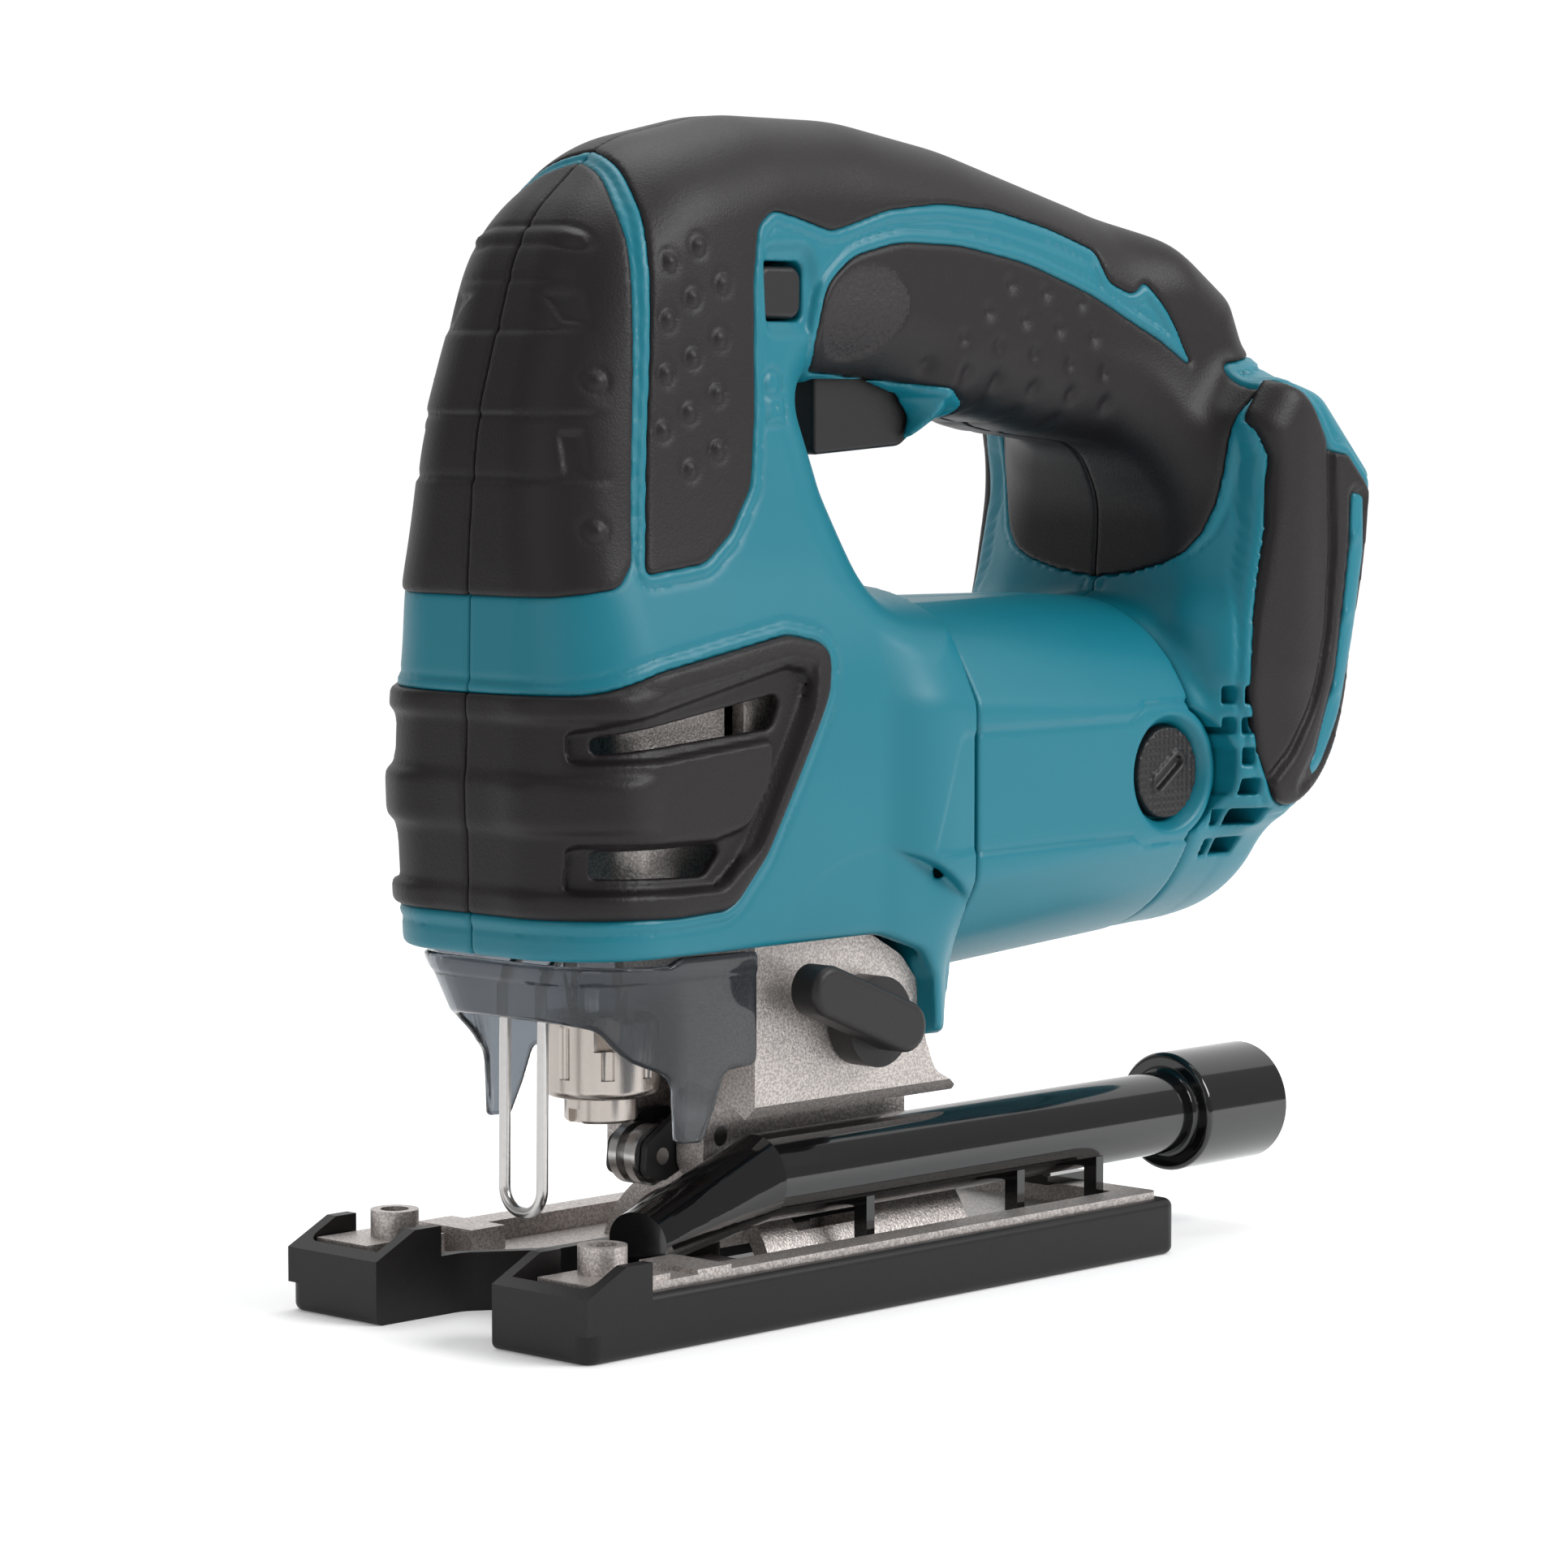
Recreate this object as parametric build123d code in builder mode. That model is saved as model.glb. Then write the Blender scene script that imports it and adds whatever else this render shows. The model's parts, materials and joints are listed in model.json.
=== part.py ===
"""Cordless D-handle jigsaw, built as the pieces that it comes apart into. Millimetres.

The row frame: +X runs to the rear (towards the battery rail), +Z is up, and the blade cuts towards -X.
The origin is on the sole's underside, on the centre plane, halfway along the overall length.
Distances called "behind the front edge" are measured from the sole's front edge.
"""
import os
from math import cos, pi, radians, sin

from build123d import *

# ---------------------------------------------------------------- driving dimensions
OVERALL_LENGTH = 212.0
SOLE_LENGTH = 151.0
SOLE_WIDTH = 75.0
SOLE_CORNER = 3.0
COVER_HEIGHT = 10.3
TOE_TOP = 15.6
COVER_WALL = 2.4
COVER_FLOOR = 2.0
CASTING_TOP = 8.0
CASTING_RIM = 11.6
TOE_GAP = 14.5
SLOT_HALF = 5.5
BLADE_SLOT_END = 60.0
WALL = 2.6
PAD_DEPTH = 1.4
BARREL_RADIUS = 32.0
NECK_RADIUS = 21.0
MOTOR_HEIGHT = 87.5
BARREL_FRONT = 102.8
BARREL_REAR = 166.0
SHAFT_RADIUS = 4.0
MODULE = 0.9
PINION_TEETH = 12
GEAR_TEETH = 40
CENTRE_DISTANCE = MODULE * (PINION_TEETH + GEAR_TEETH) / 2
GEAR_HEIGHT = MOTOR_HEIGHT + CENTRE_DISTANCE
GEAR_FRONT = 53.0
GEAR_REAR = 60.0
CRANK_RADIUS = 13.0
PLUNGER_PLACE = 39.3
ROD_RADIUS = 4.0
YOKE_REST = GEAR_HEIGHT - CRANK_RADIUS
CLAMP_RADIUS = 10.25
CLAMP_BOTTOM = 37.5
CLAMP_TOP = 52.0
HUMP_RADIUS = 22.3
HUMP_THICKNESS = 3.3
SADDLE_RADIUS = 40.0
FOOT_HALF = 12.0
DRUM_RADIUS = 22.3
PLATE_OPENING = 19.6
GUARD_PLACE = 20.0
GUARD_BOTTOM = 18.8
FENCE_PLACE = (14.5, 26.0)
BOLT_PLACE = 84.0
SLIDE_TRAVEL = 10.0
BRUSH_PLACE = 157.0
MOUNT_HALF = 36.0
RECESS_WALL = 190.8
RECESS_FRONT = 195.0
RUNNING_CLEARANCE = 0.05
PIN_PLACE = (56.9, 29.4)
ROLLER_PLACE = (49.2, 26.0)
LEVER_PLACE = (79.0, 49.0)
NOZZLE_Y = -21.0
NOZZLE_HEIGHT = 23.0
NOZZLE_RADIUS = 7.75


def behind(distance):
    """Row X of a place that many millimetres behind the sole's front edge."""
    return distance - OVERALL_LENGTH / 2


def outline(points):
    """Closed outline from (distance behind the front edge, height, corner radius) triples."""
    corners = [(behind(d), z) for d, z, r in points]
    with BuildLine() as line:
        FilletPolyline(*corners, radius=[r for d, z, r in points], close=True)
    return line.line


def left_slab(points, half_width, edge_radius=0.0, inset=0.0):
    """Slab from the centre plane out to the left, its outer edge rounded."""
    with BuildPart() as slab:
        with BuildSketch(Plane.XZ):
            make_face(outline(points).edges())
            if inset > 0:
                offset(amount=-inset)
        extrude(amount=half_width - inset)
        if edge_radius > inset:
            fillet(slab.faces().sort_by(Axis.Y)[0].edges(), edge_radius - inset)
    return slab.part


def prism(points, low_y, high_y):
    """Straight prism of a side outline between two distances to the left of the centre plane."""
    with BuildPart() as body:
        with BuildSketch(Plane.XZ.offset(low_y)):
            make_face(outline(points).edges())
        extrude(amount=high_y - low_y)
    return body.part


def block(x0, x1, y0, y1, z0, z1):
    """Box between two corners, x counted behind the sole's front edge."""
    with BuildPart() as body:
        with Locations((behind((x0 + x1) / 2), (y0 + y1) / 2, (z0 + z1) / 2)):
            Box(x1 - x0, y1 - y0, z1 - z0)
    return body.part


def along_x(radius, x0, x1, y=0.0, z=MOTOR_HEIGHT, bore=0.0):
    """Cylinder or ring whose axis runs fore and aft."""
    with BuildPart() as body:
        with BuildSketch(Plane.YZ.offset(behind(x0))):
            with Locations((y, z)):
                Circle(radius)
                if bore > 0:
                    Circle(bore, mode=Mode.SUBTRACT)
        extrude(amount=x1 - x0)
    return body.part


def along_y(radius, y0, y1, x, z, bore=0.0):
    """Cylinder or ring whose axis runs across the tool."""
    with BuildPart() as body:
        with BuildSketch(Plane.XZ.offset(-y1)):
            with Locations((behind(x), z)):
                Circle(radius)
                if bore > 0:
                    Circle(bore, mode=Mode.SUBTRACT)
        extrude(amount=y1 - y0)
    return body.part


def along_z(radius, z0, z1, x, y=0.0, bore=0.0):
    """Upright cylinder or ring."""
    with BuildPart() as body:
        with BuildSketch(Plane.XY.offset(z0)):
            with Locations((behind(x), y)):
                Circle(radius)
                if bore > 0:
                    Circle(bore, mode=Mode.SUBTRACT)
        extrude(amount=z1 - z0)
    return body.part


# ---------------------------------------------------------------- housing outlines, seen from the side
NOSE = [(9.5, 64, 5), (8, 95, 60), (9, 124, 5), (80, 124, 8), (102.5, 112, 12), (102.5, 66, 8),
        (86, 64, 6)]
PILLAR = [(9, 112, 5), (10.4, 151, 40), (20.9, 187, 22), (39, 201, 20), (67, 206.4, 40), (90, 206, 6),
          (84, 166, 6), (79, 148, 8), (90, 122, 6), (84, 112, 5)]
GRIP = [(60, 206.2, 5), (84, 206.3, 60), (118, 202, 80), (154, 193, 60), (178, 184, 30), (194, 170, 8),
        (172, 145, 12), (141, 151.5, 6), (121, 154.5, 10), (112, 148.5, 6), (104, 152, 6), (98, 160, 6),
        (70, 160, 5)]
STRUT = [(150, 172, 6), (150, 150, 5), (168.8, 147, 10), (171, 122, 12), (166, 98, 5), (186, 98, 5),
         (190, 176, 8)]
FLARE = [(174, 100, 5), (175, 122, 8), (181, 142, 12), (189, 160, 6), (200, 150, 6), (198, 100, 6)]
MOUNT = [(169.8, 152, 8), (184, 161, 6), (196.5, 159, 8), (212, 143.5, 5), (209.4, 130, 30),
         (200.5, 86, 8), (188, 78.6, 6), (177, 77.8, 6), (168, 82, 8), (166.8, 107, 20), (173.5, 126, 20)]
TAIL = [(97.2, 68, 1), (97.2, 45.6, 1.5), (101.2, 45, 1.5), (102.5, 68, 1)]
ENVELOPE = [(NOSE, 28.5, 4.5), (PILLAR, 23.0, 4.5), (GRIP, 17.5, 4.5), (STRUT, 20.0, 4.5),
            (FLARE, 28.0, 4.5), (MOUNT, MOUNT_HALF, 4.5)]
REAR_COVER_END = 188.0

UPPER_PAD = [(0, 124.5, 0.5), (14.8, 124.8, 4), (24, 128, 4), (28.3, 150, 40), (31, 184, 10),
             (26.3, 198.5, 2), (20, 212, 2), (0, 212, 2)]
NOSE_PAD = [(0, 109, 0.5), (27, 113, 10), (60, 118.3, 6), (67.6, 112, 6), (46.5, 77, 8), (36, 71, 8),
            (0, 71, 0.5)]
UPPER_WINDOW = [(12, 99, 1.5), (53, 101, 3), (55.5, 107, 2), (12, 102.6, 1.5)]
LOWER_WINDOW = [(12, 78.4, 1), (35.5, 76.6, 3), (41, 82.9, 2), (12, 83, 1)]
GRIP_PAD = [(30, 128.4, 3), (40.4, 129.9, 6), (52, 140, 8), (56, 166, 30), (58.5, 188.5, 4),
            (77, 187.3, 8), (107, 192, 60), (149, 184.5, 6), (160, 176.5, 4), (173, 163.5, 1),
            (153, 174.5, 30), (117, 184, 60), (90, 185, 14), (75, 176, 12), (76, 163.5, 5),
            (98, 161, 10), (119.3, 156.5, 5), (112, 148, 1), (150, 140, 2), (160, 124, 2),
            (168, 124.5, 6), (177, 130, 8), (184, 143, 20), (190, 156, 10), (205, 162, 2),
            (190, 215, 2), (24, 215, 2), (33, 190, 6), (27, 140, 6)]
MOUNT_PAD = [(173, 153, 4), (183, 158, 4), (194, 156, 3), (198, 140, 10), (189, 84, 4), (172, 82, 5),
             (171, 107, 20), (177, 126, 20)]
BUTTON_SLOT = [(60.3, 171, 2), (71.7, 171, 2), (72, 181, 2), (60.3, 181, 2)]
SCREW_PLACES = [(15.2, 130, 21), (33, 187, 21), (78, 194, 21), (126, 188, 16), (160, 174, 16),
                (171.5, 112, 22)]
VENT_ROWS = 5


def left_envelope(inset):
    """Outer form of the left half, drawn inwards by inset."""
    with BuildPart() as half:
        for points, half_width, edge_radius in ENVELOPE:
            add(left_slab(points, half_width, edge_radius, inset))
        add(along_x(BARREL_RADIUS - inset, BARREL_REAR + inset, REAR_COVER_END - inset))
        with Locations((0, 50, 100)):
            Box(400, 100, 400, mode=Mode.SUBTRACT)
    return half.part


def screw_boss(x, z, reach):
    """Post inside the left half that a housing screw bites into, rooted in the side wall."""
    return along_y(3.6, -reach, 0.0, x, z)


outer_left = left_envelope(0.0)
under_pad_left = left_envelope(PAD_DEPTH)
inner_left = left_envelope(WALL + 0.6)

motor_space = along_x(BARREL_RADIUS + 0.2, BARREL_FRONT - 0.3, BARREL_REAR + 0.2)
neck_space = along_x(NECK_RADIUS + 0.4, 84, BARREL_FRONT)
rear_space = along_x(BARREL_RADIUS - WALL - 0.8, BARREL_REAR - 1, BARREL_REAR + 6)


def pad(points, windows=()):
    """Soft overmould of the left half: the skin of the envelope inside a side outline."""
    with BuildPart() as skin:
        add(outer_left)
        add(under_pad_left, mode=Mode.SUBTRACT)
        add(prism(points, 0, 60), mode=Mode.INTERSECT)
        for window in windows:
            add(prism(window, 12, 60), mode=Mode.SUBTRACT)
        add(motor_space, mode=Mode.SUBTRACT)
    return skin.part


def battery_recess():
    """Space that a battery's rails slide down into, open at the top and the rear."""
    with BuildPart() as space:
        add(block(RECESS_FRONT, 203.5, -30.5, 30.5, 88, 175))
        add(block(203, 220, -26, 26, 88, 175))
    return space.part


def vent_slots():
    """Cooling slots in the rear cover, above each other on both sides."""
    with BuildPart() as slots:
        for row in range(VENT_ROWS):
            height = MOTOR_HEIGHT - 14 + 6.2 * row
            add(block(170.6, 173.6, -40, 40, height, height + 3.2))
            add(block(175.4, 178.6, -40, 40, height, height + 3.2))
    return slots.part


with BuildPart() as front_pad_left:
    add(pad(UPPER_PAD))
with BuildPart() as nose_bumper_left:
    add(pad(NOSE_PAD, (UPPER_WINDOW, LOWER_WINDOW)))
with BuildPart() as grip_left:
    add(pad(GRIP_PAD))
    add(front_pad_left.part, mode=Mode.SUBTRACT)
    add(block(59, 74, -30, 0, 168, 184), mode=Mode.SUBTRACT)
    add(block(83, 114, -8.6, 0, 140, 170), mode=Mode.SUBTRACT)
    add(battery_recess(), mode=Mode.SUBTRACT)
with BuildPart() as mount_pad_left:
    add(pad(MOUNT_PAD))
    add(grip_left.part, mode=Mode.SUBTRACT)
    add(battery_recess(), mode=Mode.SUBTRACT)

with BuildPart() as housing_left:
    add(outer_left)
    add(left_slab(TAIL, 23.0))
    add(inner_left, mode=Mode.SUBTRACT)
    add(block(RECESS_WALL, RECESS_FRONT, -33, 0, 86, 156))
    for place in SCREW_PLACES:
        add(screw_boss(*place))
    with BuildSketch(Plane.YZ.offset(behind(177))):
        with Locations((0, MOTOR_HEIGHT)):
            Circle(BARREL_RADIUS - WALL)
    extrude(amount=7)
    with Locations((0, 50, 100)):
        Box(400, 100, 400, mode=Mode.SUBTRACT)
    add(along_x(9.5, 177, 183.5), mode=Mode.SUBTRACT)
    add(along_x(6, 183, 190), mode=Mode.SUBTRACT)
    for soft in (front_pad_left, nose_bumper_left, grip_left, mount_pad_left):
        add(soft.part, mode=Mode.SUBTRACT)
    for window in (UPPER_WINDOW, LOWER_WINDOW):
        add(prism(window, 12, 60), mode=Mode.SUBTRACT)
    add(prism(BUTTON_SLOT, -1, 60), mode=Mode.SUBTRACT)
    add(motor_space, mode=Mode.SUBTRACT)
    add(neck_space, mode=Mode.SUBTRACT)
    add(rear_space, mode=Mode.SUBTRACT)
    add(block(12.4, 92, -25.9, 0, 60, 70), mode=Mode.SUBTRACT)
    add(block(83, 113, -8.4, 0, 140, 172), mode=Mode.SUBTRACT)
    add(battery_recess(), mode=Mode.SUBTRACT)
    add(vent_slots(), mode=Mode.SUBTRACT)
    for x, z, reach in SCREW_PLACES:
        add(along_y(1.9, -14.0, 1.0, x, z), mode=Mode.SUBTRACT)


def mirrored(piece):
    """The same piece on the right-hand side."""
    with BuildPart() as other:
        add(mirror(piece.part, about=Plane.XZ, mode=Mode.PRIVATE))
    return other


front_pad_right = mirrored(front_pad_left)
nose_bumper_right = mirrored(nose_bumper_left)
grip_right = mirrored(grip_left)
mount_pad_right = mirrored(mount_pad_left)


with BuildPart() as housing_right:
    add(mirror(housing_left.part, about=Plane.XZ, mode=Mode.PRIVATE))
    for x, z, reach in SCREW_PLACES:
        add(along_y(3.9, 11.9, 40.0, x, z), mode=Mode.SUBTRACT)
        add(along_y(2.1, -1.0, 16.0, x, z), mode=Mode.SUBTRACT)

with BuildPart() as housing_screws:
    for x, z, reach in SCREW_PLACES:
        add(along_y(1.85, -12.0, 12.0, x, z))
        add(along_y(3.5, 12.0, 14.8, x, z))
        with BuildSketch(Plane.XZ.offset(-14.8)):
            with Locations((behind(x), z)):
                RegularPolygon(1.3, 6)
        extrude(amount=1.6, mode=Mode.SUBTRACT)

# ---------------------------------------------------------------- motor housing and motor
with BuildPart() as motor_housing:
    add(along_x(BARREL_RADIUS, BARREL_FRONT, BARREL_REAR, bore=BARREL_RADIUS - WALL))
    fillet(motor_housing.edges().filter_by(GeomType.CIRCLE).group_by(SortBy.RADIUS)[-1], 0.8)
    add(along_x(NECK_RADIUS, 82.0, BARREL_FRONT + WALL, bore=NECK_RADIUS - WALL))
    add(along_x(NECK_RADIUS, 82.0, 86.0, bore=12.5))
    add(along_x(BARREL_RADIUS - 1, BARREL_FRONT, BARREL_FRONT + WALL, bore=NECK_RADIUS - WALL))
    with BuildSketch(Plane.XZ.offset(-40)):
        with Locations((behind(BRUSH_PLACE), MOTOR_HEIGHT)):
            Circle(8.4)
    extrude(amount=80, mode=Mode.SUBTRACT)
    with BuildSketch(Plane.YZ.offset(behind(81))):
        with Locations((0, MOTOR_HEIGHT)):
            with PolarLocations(15, 4, start_angle=45):
                Circle(2.1)
    extrude(amount=6, mode=Mode.SUBTRACT)

with BuildPart() as motor_screws:
    with BuildSketch(Plane.YZ.offset(behind(72))):
        with Locations((0, MOTOR_HEIGHT)):
            with PolarLocations(15, 4, start_angle=45):
                Circle(1.95)
    extrude(amount=14)
    with BuildSketch(Plane.YZ.offset(behind(86))):
        with Locations((0, MOTOR_HEIGHT)):
            with PolarLocations(15, 4, start_angle=45):
                Circle(3.2)
    extrude(amount=2.6)

with BuildPart() as stator_can:
    add(along_x(29.3, 113.0, 146.0, bore=26.6))

with BuildPart() as magnets:
    with BuildSketch(Plane.YZ.offset(behind(115))):
        with Locations((0, MOTOR_HEIGHT)):
            Circle(26.5)
            Circle(21.6, mode=Mode.SUBTRACT)
            Rectangle(12, 80, mode=Mode.SUBTRACT)
    extrude(amount=29)

with BuildPart() as armature_core:
    with BuildSketch(Plane.YZ.offset(behind(116))):
        with Locations((0, MOTOR_HEIGHT)):
            Circle(20.6)
            Circle(SHAFT_RADIUS + 0.02, mode=Mode.SUBTRACT)
            with PolarLocations(17.4, 12):
                SlotOverall(6.0, 2.6, mode=Mode.SUBTRACT)
    extrude(amount=27)

with BuildPart() as windings:
    add(along_x(17.5, 110.5, 115.8, bore=7.0))
    add(along_x(17.5, 143.2, 148.5, bore=7.0))
    fillet(windings.edges().filter_by(GeomType.CIRCLE), 2.0)
    with BuildSketch(Plane.YZ.offset(behind(115.8))):
        with Locations((0, MOTOR_HEIGHT)):
            with PolarLocations(17.4, 12):
                SlotOverall(5.4, 2.2)
    extrude(amount=27.4)

with BuildPart() as commutator:
    with BuildSketch(Plane.YZ.offset(behind(150))):
        with Locations((0, MOTOR_HEIGHT)):
            Circle(11.0)
            Circle(SHAFT_RADIUS + 0.02, mode=Mode.SUBTRACT)
            with PolarLocations(11.0, 24):
                Rectangle(1.6, 0.5, mode=Mode.SUBTRACT)
    extrude(amount=14)

with BuildPart() as cooling_fan:
    add(along_x(9.0, 106.2, 110.0, bore=SHAFT_RADIUS + 0.02))
    add(along_x(25.0, 108.8, 110.0, bore=8.5))
    with BuildSketch(Plane.YZ.offset(behind(105.8))):
        with Locations((0, MOTOR_HEIGHT)):
            with PolarLocations(18.0, 11):
                Rectangle(13.0, 1.3)
    extrude(amount=3.2)


def bearing(inner, outer, x0, x1):
    """Ball bearing drawn as its two races and the cage between them."""
    middle = (inner + outer) / 2
    with BuildPart() as races:
        add(along_x(outer, x0, x1, bore=inner))
        for face in (x0, x1 - 0.6):
            add(along_x(middle + 1.0, face, face + 0.6, bore=middle - 1.0), mode=Mode.SUBTRACT)
    return races


front_bearing = bearing(SHAFT_RADIUS + RUNNING_CLEARANCE, 10.9, 70.2, 77.0)
rear_bearing = bearing(SHAFT_RADIUS + RUNNING_CLEARANCE, 9.4, 177.2, 183.3)

with BuildPart() as brush_holders:
    for side in (-1, 1):
        with Locations((behind(BRUSH_PLACE), side * 20.4, MOTOR_HEIGHT)):
            Box(8.0, 14.0, 9.4)
            Box(5.5, 14.0, 7.4, mode=Mode.SUBTRACT)

with BuildPart() as brushes:
    for side in (-1, 1):
        with Locations((behind(BRUSH_PLACE), side * 15.8, MOTOR_HEIGHT)):
            Box(5.2, 9.0, 7.0)


def spring(radius, wire, pitch, length, centre, axis):
    """Coil spring that starts at a centre point and runs along an axis."""
    with BuildPart() as coil:
        with BuildLine() as path:
            Helix(pitch, length, radius, center=centre, direction=axis)
        with BuildSketch(Plane(origin=path.line @ 0, z_dir=path.line % 0)):
            Circle(wire)
        sweep()
    return coil.part


with BuildPart() as brush_springs:
    for side in (-1, 1):
        add(spring(2.2, 0.25, 1.5, 6.6, (behind(BRUSH_PLACE), side * 20.7, MOTOR_HEIGHT), (0, side, 0)))

with BuildPart() as brush_caps:
    for side in (-1, 1):
        add(along_y(8.3, min(side * 27.8, side * 31.0), max(side * 27.8, side * 31.0), BRUSH_PLACE,
                    MOTOR_HEIGHT))
    for side in (-1, 1):
        with Locations((behind(BRUSH_PLACE), side * 30.6, MOTOR_HEIGHT)):
            with Locations(Rotation(0, 35, 0)):
                Box(9.0, 1.2, 1.8, mode=Mode.SUBTRACT)


# ---------------------------------------------------------------- gears
def toothed_wheel(teeth, x0, x1, centre_height, turn):
    """Spur wheel with straight-sided teeth, its axis fore and aft."""
    pitch_radius = MODULE * teeth / 2
    tip, root = pitch_radius + 0.85 * MODULE, pitch_radius - 1.15 * MODULE
    half_pitch = pi / teeth
    flanks = [(root, -0.60), (pitch_radius, -0.44), (tip, -0.20), (tip, 0.20), (pitch_radius, 0.44),
              (root, 0.60)]
    corners = []
    for tooth in range(teeth):
        middle = radians(turn) + 2 * half_pitch * tooth
        for radius, share in flanks:
            angle = middle + share * half_pitch
            corners.append((radius * cos(angle), centre_height + radius * sin(angle)))
    with BuildPart() as wheel:
        with BuildSketch(Plane.YZ.offset(behind(x0))):
            with BuildLine():
                Polyline(*corners, close=True)
            make_face()
        extrude(amount=x1 - x0)
    return wheel.part


with BuildPart() as armature_shaft:
    add(toothed_wheel(PINION_TEETH, 52.0, 61.5, MOTOR_HEIGHT, 90.0))
    add(along_x(SHAFT_RADIUS, 61.5, 184.5))

with BuildPart() as crank_gear:
    add(toothed_wheel(GEAR_TEETH, GEAR_FRONT, GEAR_REAR, GEAR_HEIGHT, 90.0 + 180.0 / GEAR_TEETH))
    add(along_x(5.05, GEAR_FRONT + 1.5, GEAR_REAR, z=GEAR_HEIGHT), mode=Mode.SUBTRACT)
    with BuildSketch(Plane.YZ.offset(behind(GEAR_REAR))):
        with Locations((0, GEAR_HEIGHT)):
            with PolarLocations(11.5, 4, start_angle=45):
                Circle(2.6)
    extrude(amount=-GEAR_REAR + GEAR_FRONT, mode=Mode.SUBTRACT)
    add(along_x(2.0, GEAR_FRONT, GEAR_REAR, z=YOKE_REST), mode=Mode.SUBTRACT)

with BuildPart() as crank_pin:
    add(along_x(2.0, 47.6, GEAR_REAR, z=YOKE_REST))
    add(along_x(3.0, 47.1, GEAR_FRONT - 0.4, z=YOKE_REST))

with BuildPart() as gear_shaft:
    add(along_x(5.0, GEAR_FRONT + 1.8, 75.0, z=GEAR_HEIGHT))

with BuildPart() as counterweight:
    add(block(62.0, 67.0, -17.5, 17.5, GEAR_HEIGHT - 9, GEAR_HEIGHT + 19))
    add(block(61.0, 68.0, -7.0, 7.0, GEAR_HEIGHT - 10, GEAR_HEIGHT + 13.5), mode=Mode.SUBTRACT)
    add(along_x(18.6, 61.0, 68.0, z=GEAR_HEIGHT), mode=Mode.INTERSECT)

# ---------------------------------------------------------------- gear housing
with BuildPart() as gear_housing:
    add(block(26, 52, -19.6, 19.6, 66, 133.2))
    add(block(52, 78, -DRUM_RADIUS, DRUM_RADIUS, 64, GEAR_HEIGHT))
    add(along_x(DRUM_RADIUS, 52, 78, z=GEAR_HEIGHT))
    fillet(gear_housing.edges().filter_by(Axis.Z).group_by(Axis.X)[0], 6.0)
    add(along_x(NECK_RADIUS, 78, 82))
    with BuildSketch(Plane.XZ.offset(-24)):
        make_face(outline([(53, 30, 2), (53, 66, 1), (79, 65.5, 3), (90, 59.5, 6), (95.5, 53, 4),
                           (96.5, 44, 6), (99, 38, 5), (106, 34.5, 1), (106, 30, 1)]).edges())
    extrude(amount=48)
    add(along_x(SADDLE_RADIUS, 40, 120, z=0.0), mode=Mode.SUBTRACT)
    with BuildSketch(Plane.XZ.offset(-FOOT_HALF)):
        make_face(outline([(52.4, 24, 4), (52.4, 36, 5), (58, 44, 2), (104, 44, 2), (104, 20, 1),
                           (56, 20, 3)]).edges())
    extrude(amount=2 * FOOT_HALF)
    add(along_x(HUMP_RADIUS + 0.3, 40, 120, z=0.0), mode=Mode.SUBTRACT)
    for side in (-1, 1):
        with BuildSketch(Plane.YZ.offset(behind(50))):
            with BuildLine():
                Polyline((0, 0), (side * 40, 0), (side * 40, 52), (0, 12), close=True)
            make_face()
        extrude(amount=60, mode=Mode.SUBTRACT)
    add(block(48, 67, -5.4, 5.4, 15, 40), mode=Mode.SUBTRACT)
    add(along_y(1.85, -12.1, 12.1, *PIN_PLACE), mode=Mode.SUBTRACT)
    add(block(29, 50, -17.6, 17.6, 92, 130.6), mode=Mode.SUBTRACT)
    add(along_x(19.6, 50, 69, z=GEAR_HEIGHT), mode=Mode.SUBTRACT)
    add(block(50, 69, -19.6, 19.6, 79, GEAR_HEIGHT), mode=Mode.SUBTRACT)
    add(along_x(5.05, 65, 75.1, z=GEAR_HEIGHT), mode=Mode.SUBTRACT)
    add(along_x(8.0, 65, 83), mode=Mode.SUBTRACT)
    add(along_x(10.95, 70.1, 83), mode=Mode.SUBTRACT)
    add(along_z(11.4, 60, 79, PLUNGER_PLACE), mode=Mode.SUBTRACT)
    add(along_z(9.0, 130.6, 144.5, PLUNGER_PLACE))
    add(along_z(6.6, 70, 150, PLUNGER_PLACE), mode=Mode.SUBTRACT)
    add(along_y(4.05, -24.1, -8.9, *LEVER_PLACE), mode=Mode.SUBTRACT)
    add(along_z(3.1, 15, 46, BOLT_PLACE), mode=Mode.SUBTRACT)
    with BuildSketch(Plane.YZ.offset(behind(71.9))):
        with Locations((0, MOTOR_HEIGHT)):
            with PolarLocations(15, 4, start_angle=45):
                Circle(2.0)
    extrude(amount=12, mode=Mode.SUBTRACT)

with BuildPart() as plunger_bushes:
    add(along_z(6.55, 79.2, 91.0, PLUNGER_PLACE, bore=ROD_RADIUS + RUNNING_CLEARANCE))
    add(along_z(6.55, 131.5, 144.0, PLUNGER_PLACE, bore=ROD_RADIUS + RUNNING_CLEARANCE))

with BuildPart() as roller_arm_pin:
    add(along_y(1.8, 0.2 - FOOT_HALF, FOOT_HALF - 0.2, *PIN_PLACE))

with BuildPart() as bevel_bolt:
    add(along_z(3.05, 14.6, 45.0, BOLT_PLACE))
    with BuildSketch(Plane.XY.offset(10.0)):
        with Locations((behind(BOLT_PLACE), 0)):
            RegularPolygon(5.6, 6)
    extrude(amount=4.6)
    with BuildSketch(Plane.XY.offset(10.0)):
        with Locations((behind(BOLT_PLACE), 0)):
            RegularPolygon(2.3, 6)
    extrude(amount=3.0, mode=Mode.SUBTRACT)

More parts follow.
